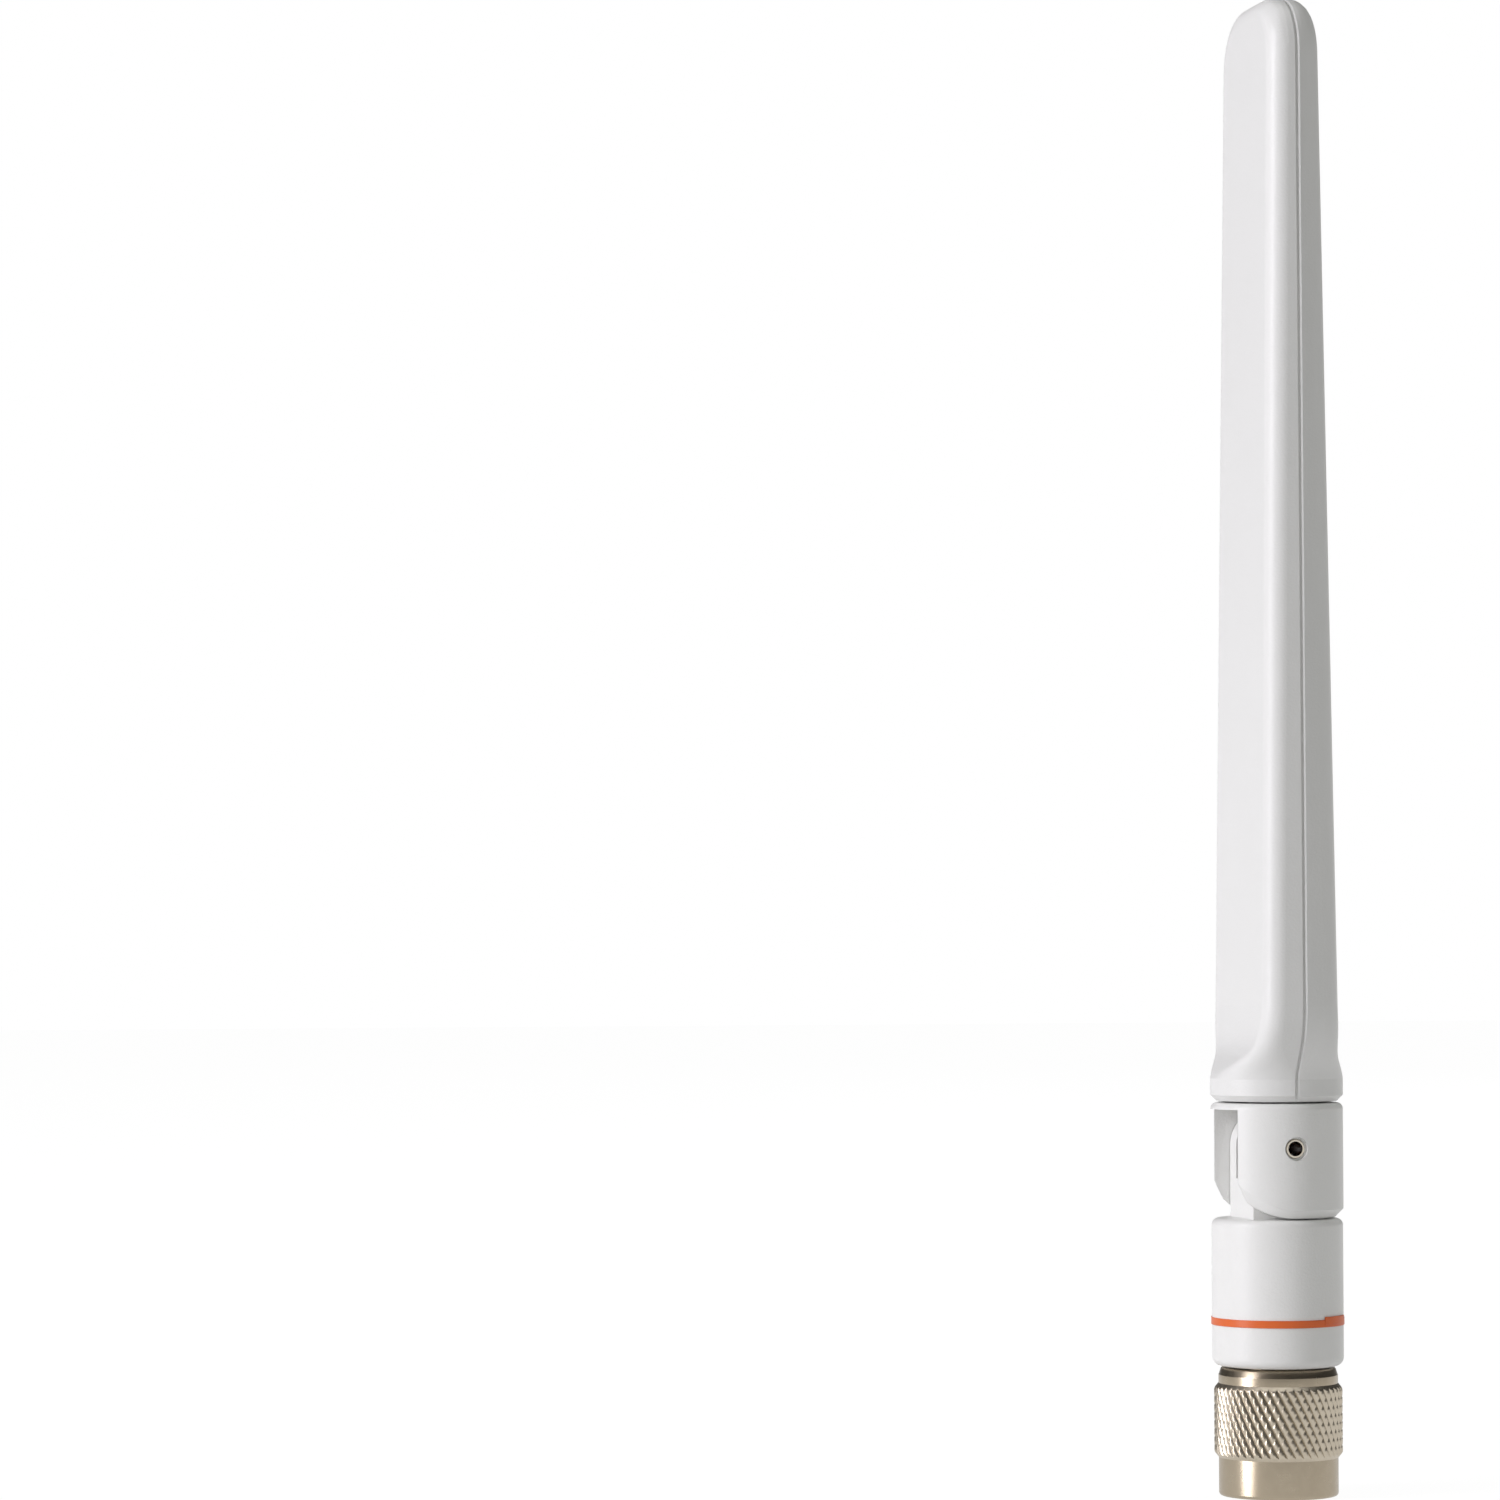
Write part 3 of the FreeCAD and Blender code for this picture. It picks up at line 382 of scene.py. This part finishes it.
def knurl_tree():
    """Leaning ridges round the nut, crossed by lighter grooves, between two bevels."""
    tree, given, end, grid, across, along = grid_tree(
        "knurl", "Teeth", "Radius", "Foot Radius", "Low", "High", "Lead",
        "Ridge Depth", "Ridge Land", "Cross Depth", "Cross Land")
    up = reckon(tree, "MULTIPLY", along, reckon(tree, "SUBTRACT", given["High"], given["Low"]))
    height = reckon(tree, "ADD", up, given["Low"])
    leads = reckon(tree, "DIVIDE", up, given["Lead"])
    ridge = reckon(tree, "MULTIPLY", across, given["Teeth"])
    cross = reckon(tree, "SUBTRACT", ridge, reckon(tree, "MULTIPLY", leads, 2.0))
    turn = reckon(tree, "SUBTRACT", ridge, leads)
    turn = reckon(tree, "MULTIPLY", turn, reckon(tree, "DIVIDE", 2 * math.pi, given["Teeth"]))
    cut = reckon(
        tree, "MAXIMUM",
        groove(tree, ridge, given["Ridge Depth"], given["Ridge Land"], RIDGE_CURVE),
        groove(tree, cross, given["Cross Depth"], given["Cross Land"], 1.0))
    radius = reckon(tree, "SUBTRACT", given["Radius"], cut)
    for near in (up, reckon(tree, "SUBTRACT", given["High"], height)):
        bevel = reckon(tree, "ADD", given["Foot Radius"],
                       reckon(tree, "MULTIPLY", near, KNURL_BEVEL_SLOPE))
        radius = reckon(tree, "MINIMUM", radius, bevel)
    wrap_and_close(tree, given, end, grid, turn, radius, height, inward=False)
    return tree


def thread_tree():
    """Right-handed thread inside the nut, running out in a bevel at each end."""
    tree, given, end, grid, across, along = grid_tree(
        "inside thread", "Major Radius", "Minor Radius", "Mouth Radius", "End", "Pitch", "Turns")
    turns = reckon(tree, "MULTIPLY", across, given["Turns"])
    rise = reckon(tree, "SUBTRACT", reckon(tree, "ADD", turns, along), 1.0)
    height = reckon(tree, "MULTIPLY", rise, given["Pitch"])
    height = reckon(tree, "MINIMUM", reckon(tree, "MAXIMUM", height, 0.0), given["End"])
    middle = reckon(tree, "ABSOLUTE", reckon(
        tree, "SUBTRACT", reckon(tree, "MULTIPLY", along, 2.0), 1.0))
    share = reckon(tree, "MULTIPLY", reckon(tree, "SUBTRACT", 1.0, middle), THREAD_FLANK)
    share = reckon(tree, "MINIMUM", share, 1.0)
    deep = reckon(tree, "SUBTRACT", given["Major Radius"], given["Minor Radius"])
    radius = reckon(tree, "SUBTRACT", given["Major Radius"],
                    reckon(tree, "MULTIPLY", deep, share))
    mouth = reckon(tree, "SUBTRACT", given["Mouth Radius"],
                   reckon(tree, "MULTIPLY", height, THREAD_MOUTH_SLOPE))
    left = reckon(tree, "SUBTRACT", given["End"], height)
    back = reckon(tree, "SUBTRACT", given["Mouth Radius"],
                  reckon(tree, "MULTIPLY", left, THREAD_BACK_SLOPE))
    radius = reckon(tree, "MAXIMUM", radius, reckon(tree, "MAXIMUM", mouth, back))
    turn = reckon(tree, "MULTIPLY", turns, 2 * math.pi)
    wrap_and_close(tree, given, end, grid, turn, radius, height, inward=True)
    return tree


def placed(name, data):
    """New object for a mesh, a light or a camera, linked into the scene."""
    thing = bpy.data.objects.new(name, data)
    bpy.context.scene.collection.objects.link(thing)
    return thing


def grown(name, tree, sizes):
    """Runs a geometry tree with the given sizes and keeps its result as a plain mesh."""
    seed = placed(name, bpy.data.meshes.new(name))
    maker = seed.modifiers.new("grow", "NODES")
    maker.node_group = tree
    sockets = {item.name: item.identifier for item in tree.interface.items_tree
               if item.item_type == "SOCKET" and item.in_out == "INPUT"}
    for title, value in sizes.items():
        maker[sockets[title]] = value
    bpy.context.view_layer.update()
    ready = seed.evaluated_get(bpy.context.evaluated_depsgraph_get())
    mesh = bpy.data.meshes.new_from_object(ready)
    bpy.data.objects.remove(seed)
    return mesh


def rounded(start, corner, end, steps):
    """Quarter round from start to end, whose tangents meet in corner."""
    points = []
    for step in range(steps + 1):
        turn = math.pi / 2 * step / steps
        away, back = 1 - math.sin(turn), 1 - math.cos(turn)
        points.append(tuple(
            c + (s - c) * away + (e - c) * back for s, c, e in zip(start, corner, end)))
    return points


def lathe_into(shape, profile, steps):
    """Adds the surface that a line of (radius, height) points sweeps round the axis."""
    rings = []
    for radius, height in profile:
        rings.append([shape.verts.new((
            radius * math.cos(2 * math.pi * k / steps),
            radius * math.sin(2 * math.pi * k / steps), height)) for k in range(steps)])
    for low, high in zip(rings, rings[1:]):
        for k in range(steps):
            after = (k + 1) % steps
            shape.faces.new((low[k], low[after], high[after], high[k]))


def settle(name, shape, crease, *materials):
    """Turns a finished bmesh into an object, welded and smooth but for its creases."""
    bmesh.ops.remove_doubles(shape, verts=shape.verts, dist=WELD)
    bmesh.ops.dissolve_degenerate(shape, edges=shape.edges, dist=WELD / 4)
    mesh = bpy.data.meshes.new(name)
    shape.to_mesh(mesh)
    shape.free()
    for material in materials:
        mesh.materials.append(material)
    for face in mesh.polygons:
        face.use_smooth = True
    mesh.set_sharp_from_angle(angle=math.radians(crease))
    return placed(name, mesh)


nickel_nut = plated(
    "nickel plate, nut", NICKEL, NICKEL_STAIN, roughness=0.26, line_depth=0.2, mottle=0.5)
# The knurl carries a lighter copy of the nut's nickel: painted light on the knurl.
nickel_knurl_painted_light = plated(
    "nickel plate, knurled", colour=(0.64, 0.57, 0.46, 1), stain=(0.54, 0.47, 0.37, 1),
    roughness=0.34, line_depth=0.2, mottle=0.5)
knurl_mesh = grown("knurl", knurl_tree(), {
    "Teeth": float(KNURL_TEETH), "Radius": KNURL_R, "Foot Radius": KNURL_FOOT_R,
    "Low": KNURL_LOW, "High": KNURL_HIGH,
    "Lead": (KNURL_HIGH - KNURL_LOW) * KNURL_LEAD_ROWS / KNURL_ROWS,
    "Ridge Depth": RIDGE_DEPTH, "Ridge Land": RIDGE_LAND,
    "Cross Depth": CROSS_DEPTH, "Cross Land": CROSS_LAND,
    "Columns": NUT_STEPS + 1, "Rows": KNURL_ROWS + 1, "Material": nickel_knurl_painted_light})
thread_mesh = grown("inside thread", thread_tree(), {
    "Major Radius": THREAD_MAJOR_R, "Minor Radius": THREAD_MINOR_R,
    "Mouth Radius": NUT_RELIEF_R, "End": THREAD_END, "Pitch": THREAD_PITCH,
    "Turns": float(THREAD_TURNS), "Columns": THREAD_TURNS * NUT_STEPS + 1,
    "Rows": THREAD_ROWS, "Material": nickel_nut})
nut_shape = bmesh.new()
lathe_into(nut_shape, (
    [(NUT_RELIEF_R, 0)]
    + rounded((NUT_R - NUT_EDGE, 0), (NUT_R, 0), (NUT_R, NUT_EDGE), steps=6)
    + [(NUT_R, KNURL_LOW), (KNURL_FOOT_R, KNURL_LOW)]), NUT_STEPS)
lathe_into(nut_shape, (
    [(KNURL_FOOT_R, KNURL_HIGH), (NUT_R, KNURL_HIGH)]
    + rounded((NUT_R, NUT_SLOPE_LOW), (NUT_R, NUT_SLOPE_LOW + NUT_BROW),
              (NUT_R - NUT_SLOPE_IN * NUT_BROW_SHARE, NUT_SLOPE_LOW + NUT_BROW_RUN), steps=4)
    + rounded((NUT_R - NUT_SLOPE_IN * (1 - NUT_BROW_SHARE), NUT_LENGTH - NUT_BROW_RUN),
              (NUT_R - NUT_SLOPE_IN, NUT_LENGTH - NUT_BROW),
              (NUT_R - NUT_SLOPE_IN - NUT_BROW, NUT_LENGTH), steps=6)
    + [(NUT_BORE_R, NUT_LENGTH), (NUT_BORE_R, NUT_LENGTH - NUT_BACK_WALL),
       (NUT_RELIEF_R, NUT_LENGTH - NUT_BACK_WALL), (NUT_RELIEF_R, THREAD_END)]), NUT_STEPS)
nut_shape.from_mesh(thread_mesh)
plain_faces = len(nut_shape.faces)
nut_shape.from_mesh(knurl_mesh)
nut_shape.faces.ensure_lookup_table()
for face in nut_shape.faces[plain_faces:]:
    face.material_index = 1
nut = settle("knurled_nut", nut_shape, NUT_CREASE, nickel_nut, nickel_knurl_painted_light)
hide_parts("coupling_nut")
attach(nut, "nut")

# Cable in the plug and the collar, and its upper length in the blade: silver plated wire in
# milky white dielectric, its woven braid folded back over the post and held there by a crimped
# ferrule, and the thin brown jacket.
BRAID_STRANDS = 12.0
BRAID_TWIST = 9000.0
BRAID_HEIGHT = 0.05 * MM
BRAID_DEPTH = 0.8
silver = plated(
    "silver plated copper", colour=(0.8, 0.77, 0.7, 1), stain=(0.6, 0.56, 0.5, 1),
    roughness=0.25, line_depth=0.2, mottle=0.4)
ferrule_metal = plated(
    "nickel plate, crimped", NICKEL, NICKEL_STAIN, roughness=0.33, line_depth=0.5, mottle=0.5)


def measured(tree, coordinates="Object"):
    """X, Y and Z of the given texture coordinates."""
    parts = tree.nodes.new("ShaderNodeSeparateXYZ")
    tree.links.new(tree.nodes.new("ShaderNodeTexCoord").outputs[coordinates], parts.inputs[0])
    return parts.outputs


def braided(name, colour, gap_colour, roughness):
    """Woven wire: two families of helical strands, raised where they cross over."""
    material, tree, shader = blank_material(name, roughness, metallic=1.0)
    spot = measured(tree)
    turn = reckon(tree, "ARCTAN2", spot["Y"], spot["X"])
    around = reckon(tree, "MULTIPLY", turn, BRAID_STRANDS)
    along = reckon(tree, "MULTIPLY", spot["Z"], BRAID_TWIST)
    first = reckon(tree, "SINE", reckon(tree, "ADD", around, along))
    second = reckon(tree, "SINE", reckon(tree, "SUBTRACT", around, along))
    over = reckon(tree, "MAXIMUM", first, second)
    feed(tree, shader, "Base Color", blended(
        tree, reckon(tree, "MAXIMUM", over, 0.0), gap_colour, colour))
    feed(tree, shader, "Normal", relief(tree, over, BRAID_DEPTH, BRAID_HEIGHT))
    return material


braid = braided(
    "braided silver wire", colour=(0.75, 0.72, 0.66, 1), gap_colour=(0.12, 0.11, 0.1, 1),
    roughness=0.32)
jacket = moulded(
    "brown cable jacket", colour=(0.115, 0.045, 0.018, 1), shade=(0.085, 0.033, 0.014, 1),
    roughness=0.28, grain_size=0.6 * MM, grain_depth=0.1)
glossy = node_in(jacket, "BSDF_PRINCIPLED").inputs
glossy["Coat Weight"].default_value = 0.25
glossy["Coat Roughness"].default_value = 0.2
dress(silver, "cable_wire_lower", "cable_wire_upper")
dress(braid, "cable_braid")
dress(ferrule_metal, "crimp_ferrule")
dress(fluoropolymer, "cable_dielectric_lower", "cable_dielectric_upper")
dress(jacket, "cable_jacket_lower", "cable_jacket_upper")

# Swivel collar. One white moulding that snaps into the spigot's groove from above and turns
# on it; the flat tongue on top carries the hinge.
white_plastic = moulded(
    "white satin plastic", colour=(0.85, 0.85, 0.835, 1), shade=(0.83, 0.83, 0.812, 1),
    roughness=0.4, grain_size=0.3 * MM, grain_depth=1.0)
dress(white_plastic, "swivel_collar")

# Colour band. One turn of narrow orange vinyl tape; its end laps over its start, a little
# higher than the turn below.
tape = moulded(
    "orange vinyl tape", colour=(0.8, 0.15, 0.022, 1), shade=(0.72, 0.122, 0.018, 1),
    roughness=0.38, grain_size=0.4 * MM, grain_depth=0.25)
dress(tape, "colour_band")

# Knuckle fork. White moulding with two cheeks, a crown and a back web round the tongue; its
# neck is held between the blade's shells.
dress(white_plastic, "knuckle_fork")

# Hinge pins. Two short hollow pins, bright nickel plated, pressed into the cheeks with their
# rolled ends a little below the surface.
PIN_BORE_R = 0.83 * MM
PIN_HEIGHT = 39.1 * MM
PIN_SHADOW = (0.02, 0.018, 0.017, 1)


def bored(material, radius, height):
    """Paints shade inside a bore that runs along Y at the given height, on a plated material."""
    tree = material.node_tree
    shader = node_in(material, "BSDF_PRINCIPLED")
    grain = node_in(material, "GROUP")
    spot = measured(tree)
    up = reckon(tree, "SUBTRACT", spot["Z"], height)
    away = reckon(tree, "SQRT", reckon(
        tree, "ADD", reckon(tree, "MULTIPLY", up, up),
        reckon(tree, "MULTIPLY", spot["X"], spot["X"])))
    inside = reckon(tree, "LESS_THAN", away, radius)
    feed(tree, shader, "Base Color", blended(
        tree, inside, grain.outputs["Colour"], PIN_SHADOW))
    return material


bright_nickel = plated(
    "nickel plate, bright", colour=(0.7, 0.64, 0.54, 1), stain=(0.58, 0.5, 0.4, 1),
    roughness=0.14, line_depth=0.1, mottle=0.25)
dress(bored(bright_nickel, PIN_BORE_R, PIN_HEIGHT), "hinge_pin_near", "hinge_pin_far")

# Cable in the hinge. The jacket crosses the knuckle between the two pins; in the antenna it
# bends with the blade, here it is built straight.
HINGE_CABLE_R = 0.9 * MM
HINGE_CABLE_LOW = 31.1 * MM
HINGE_CABLE_HIGH = 44.1 * MM
HINGE_CABLE_CORE_R = HINGE_CABLE_R * 0.02
HINGE_CABLE_ROWS = 40
HINGE_CABLE_STEPS = 32
HINGE_CABLE_CREASE = 50


def cable_through_hinge():
    """Round jacket in short rows, closed at both ends."""
    shape = bmesh.new()
    length = HINGE_CABLE_HIGH - HINGE_CABLE_LOW
    profile = [(HINGE_CABLE_CORE_R, HINGE_CABLE_LOW)]
    for row in range(HINGE_CABLE_ROWS + 1):
        profile.append((HINGE_CABLE_R, HINGE_CABLE_LOW + length * row / HINGE_CABLE_ROWS))
    profile.append((HINGE_CABLE_CORE_R, HINGE_CABLE_HIGH))
    lathe_into(shape, profile, HINGE_CABLE_STEPS)
    for level, upper in ((HINGE_CABLE_LOW, False), (HINGE_CABLE_HIGH, True)):
        ring = [v for v in shape.verts
                if abs(v.co.z - level) < WELD and v.co.xy.length < HINGE_CABLE_R / 2]
        ring.sort(key=lambda v: math.atan2(v.co.y, v.co.x), reverse=not upper)
        shape.faces.new(ring)
    return settle("hinge_cable", shape, HINGE_CABLE_CREASE, jacket)


hinge_cable = cable_through_hinge()
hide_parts("cable_jacket_hinge")
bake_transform(hinge_cable)

# Board and dipole. Green glass epoxy with copper tracks under its lacquer, and the cable
# soldered on across the gap in the middle.
board = moulded(
    "green lacquered board", colour=(0.02, 0.09, 0.035, 1), shade=(0.03, 0.12, 0.05, 1),
    roughness=0.3, grain_size=0.7 * MM, grain_depth=0.2)
copper = plated(
    "copper foil", colour=(0.72, 0.38, 0.22, 1), stain=(0.55, 0.27, 0.15, 1),
    roughness=0.35, line_depth=0.1, mottle=0.4)
solder = plated(
    "solder", colour=(0.72, 0.72, 0.72, 1), stain=(0.55, 0.56, 0.57, 1),
    roughness=0.22, line_depth=0.05, mottle=0.5)
dress(board, "circuit_board")
dress(copper, "dipole_arm_lower", "dipole_arm_upper")
dress(solder, "solder_ground", "solder_feed")

# Blade shells. Two hollow white mouldings, closed over the board and glued along the seam in
# mid thickness. The back shell's edge leans away from the seam for the mould, more so towards
# the tip, and its lip is broken by a fine bevel; both are in its shading only.
SEAM_HALF_WIDTH = 0.15 * MM
LIP_BEVEL = 0.2 * MM
LIP_CATCH = -0.45
EDGE_DRAFT = 0.24
EDGE_DRAFT_TIP = 0.38
DRAFT_LOW = 47.0 * MM
DRAFT_FULL = 54.0 * MM
DRAFT_TIP = 125.0 * MM


def ramp(tree, value, low, high):
    """0 below low, 1 above high and even in between."""
    share = reckon(tree, "DIVIDE", reckon(tree, "SUBTRACT", value, low), high - low)
    return reckon(tree, "MINIMUM", 1.0, reckon(tree, "MAXIMUM", 0.0, share))


def vector_step(tree, operation, *terms):
    """Vector Math node on the given sockets."""
    node = tree.nodes.new("ShaderNodeVectorMath")
    node.operation = operation
    for place, term in enumerate(terms):
        tree.links.new(term, node.inputs[place])
    return node.outputs[0]


def drafted(material):
    """Leans the shading of the back shell's edge away from the seam and lights its lip."""
    tree = material.node_tree
    shader = node_in(material, "BSDF_PRINCIPLED")
    grain = node_in(material, "GROUP")
    spot, facing = measured(tree), measured(tree, "Normal")
    edgewise = reckon(tree, "SUBTRACT", 1.0, reckon(tree, "ABSOLUTE", facing["X"]))
    upright = reckon(tree, "SUBTRACT", 1.0, reckon(tree, "MAXIMUM", facing["Z"], 0.0))
    past_seam = reckon(tree, "GREATER_THAN", spot["X"], SEAM_HALF_WIDTH)
    past_lip = reckon(tree, "GREATER_THAN", spot["X"], SEAM_HALF_WIDTH + LIP_BEVEL)
    rise = ramp(tree, spot["Z"], DRAFT_LOW, DRAFT_FULL)
    climb = ramp(tree, spot["Z"], DRAFT_FULL, DRAFT_TIP)
    most = reckon(tree, "ADD", EDGE_DRAFT,
                  reckon(tree, "MULTIPLY", climb, EDGE_DRAFT_TIP - EDGE_DRAFT))
    draft = reckon(tree, "MULTIPLY", reckon(tree, "MULTIPLY", past_lip, rise),
                   reckon(tree, "MULTIPLY", most, upright))
    catch = reckon(tree, "MULTIPLY", reckon(tree, "SUBTRACT", past_seam, past_lip), LIP_CATCH)
    lean = reckon(tree, "MULTIPLY", edgewise, reckon(tree, "ADD", draft, catch))
    tilt = tree.nodes.new("ShaderNodeCombineXYZ")
    tree.links.new(lean, tilt.inputs["X"])
    outside = tree.nodes.new("ShaderNodeVectorTransform")
    outside.vector_type = "VECTOR"
    outside.convert_from, outside.convert_to = "OBJECT", "WORLD"
    tree.links.new(tilt.outputs[0], outside.inputs[0])
    leant = vector_step(tree, "ADD", grain.outputs["Normal"], outside.outputs[0])
    tree.links.new(vector_step(tree, "NORMALIZE", leant), shader.inputs["Normal"])
    return material


# The shells' white is a little darker than the collar's and the fork's: painted shade on the
# blade.
shell_plastic_painted_shade = moulded(
    "white satin plastic, shells", colour=(0.82, 0.82, 0.808, 1), shade=(0.8, 0.8, 0.785, 1),
    roughness=0.4, grain_size=0.3 * MM, grain_depth=0.7)
dress(drafted(shell_plastic_painted_shade), "shell_back", "shell_fold")

# Studio. A pale floor that runs out to white, a tall soft light at the left, a weaker one
# behind at the right, even light all round, and the camera at the photograph's place.
FLOOR_HALF_WIDTH = 3.0
FLOOR_COLOUR = (0.88, 0.88, 0.88, 1)
FLOOR_ROUGHNESS = 0.7
FLOOR_GLOW = 1.06
FLOOR_GLOW_SHARE = 0.9
EVEN_LIGHT = (0.384, 0.385, 0.374, 1)
MIRRORED_LOW, MIRRORED_TOP = 0.85, 1.9
MIRRORED_TOP_PLACE = 0.93
MIRRORED_STOPS = ((0.04, 0.7), (0.09, 0.07), (0.84, 0.04))
LIGHTS_AIM = (0, 0, 0.09)
KEY_PLACE, KEY_SIZE = (-1.48, -0.26, 0.4), (0.5, 1.6)
KEY_RADIANCE, KEY_TINT = 8.8, (0.965, 0.945, 1.0)
BACK_PLACE, BACK_SIZE, BACK_RADIANCE = (1.15, 1.12, 0.45), (0.6, 1.2), 3.0
CAMERA_PLACE = (-0.1867, -0.5849, 0.0635)
CAMERA_TURN = (math.radians(91.92), 0.003, math.radians(-12.162))
CAMERA_LENS, CAMERA_SENSOR = 129.9, 36.0
CAMERA_CLIP = 0.01
scene = bpy.context.scene
scene.view_settings.view_transform = "Standard"


def looked_at(tree, path):
    """1 for rays from the camera, also through something clear, and 0 for all others."""
    return reckon(tree, "MAXIMUM", path["Is Camera Ray"], path["Is Transmission Ray"])


def studio_floor():
    """Floor that keeps the object's shadow, glows white to the camera and isn't mirrored."""
    shape = bmesh.new()
    bmesh.ops.create_grid(shape, x_segments=1, y_segments=1, size=FLOOR_HALF_WIDTH)
    mesh = bpy.data.meshes.new("floor")
    shape.to_mesh(mesh)
    shape.free()
    floor = placed("floor", mesh)
    material, tree, shader = blank_material("pale floor", FLOOR_ROUGHNESS)
    feed(tree, shader, "Base Color", FLOOR_COLOUR)
    glow = tree.nodes.new("ShaderNodeEmission")
    glow.inputs["Strength"].default_value = FLOOR_GLOW
    path = tree.nodes.new("ShaderNodeLightPath").outputs
    share = tree.nodes.new("ShaderNodeMixShader")
    feed(tree, share, 0, reckon(tree, "MULTIPLY", looked_at(tree, path), FLOOR_GLOW_SHARE))
    tree.links.new(shader.outputs["BSDF"], share.inputs[1])
    tree.links.new(glow.outputs["Emission"], share.inputs[2])
    unseen = tree.nodes.new("ShaderNodeMixShader")
    feed(tree, unseen, 0, path["Is Glossy Ray"])
    tree.links.new(share.outputs["Shader"], unseen.inputs[1])
    tree.links.new(tree.nodes.new("ShaderNodeBsdfTransparent").outputs[0], unseen.inputs[2])
    output = node_in(material, "OUTPUT_MATERIAL")
    tree.links.new(unseen.outputs["Shader"], output.inputs["Surface"])
    mesh.materials.append(material)


def studio_world():
    """Even light all round, white to the camera, and light and dark fields for the metal."""
    world = bpy.data.worlds.new("studio")
    scene.world = world
    world.use_nodes = True
    tree = world.node_tree
    tree.nodes.clear()
    output = tree.nodes.new("ShaderNodeOutputWorld")
    back = tree.nodes.new("ShaderNodeBackground")
    path = tree.nodes.new("ShaderNodeLightPath").outputs
    fields = tree.nodes.new("ShaderNodeValToRGB")
    tree.links.new(measured(tree, "Generated")["Z"], fields.inputs["Fac"])
    stops = fields.color_ramp.elements
    stops[0].position, stops[0].color = 0.0, (MIRRORED_LOW,) * 3 + (1,)
    stops[1].position, stops[1].color = MIRRORED_TOP_PLACE, (MIRRORED_TOP,) * 3 + (1,)
    for position, level in MIRRORED_STOPS:
        stops.new(position).color = (level,) * 3 + (1,)
    light = blended(tree, path["Is Glossy Ray"], EVEN_LIGHT, fields.outputs["Color"])
    feed(tree, back, "Color", blended(tree, looked_at(tree, path), light, (1, 1, 1, 1)))
    tree.links.new(back.outputs["Background"], output.inputs["Surface"])


def soft_light(name, place, size, radiance, tint=(1, 1, 1)):
    """Rectangular soft light of the given width and height, aimed at the object."""
    lamp = bpy.data.lights.new(name, "AREA")
    lamp.shape = "RECTANGLE"
    lamp.color = tint
    lamp.size, lamp.size_y = size
    lamp.energy = radiance * math.pi * size[0] * size[1]
    light = placed(name, lamp)
    light.location = place
    ray = Vector(LIGHTS_AIM) - Vector(place)
    light.rotation_euler = ray.to_track_quat("-Z", "Y").to_euler()
    return light


studio_floor()
studio_world()
soft_light("tall soft light", KEY_PLACE, KEY_SIZE, KEY_RADIANCE, KEY_TINT)
back_fill = soft_light("back fill", BACK_PLACE, BACK_SIZE, BACK_RADIANCE)
back_fill.visible_glossy = False

lens = bpy.data.cameras.new("camera")
lens.lens = CAMERA_LENS
lens.sensor_width = CAMERA_SENSOR
lens.clip_start = CAMERA_CLIP
camera = placed("camera", lens)
camera.location = CAMERA_PLACE
camera.rotation_euler = CAMERA_TURN
scene.camera = camera
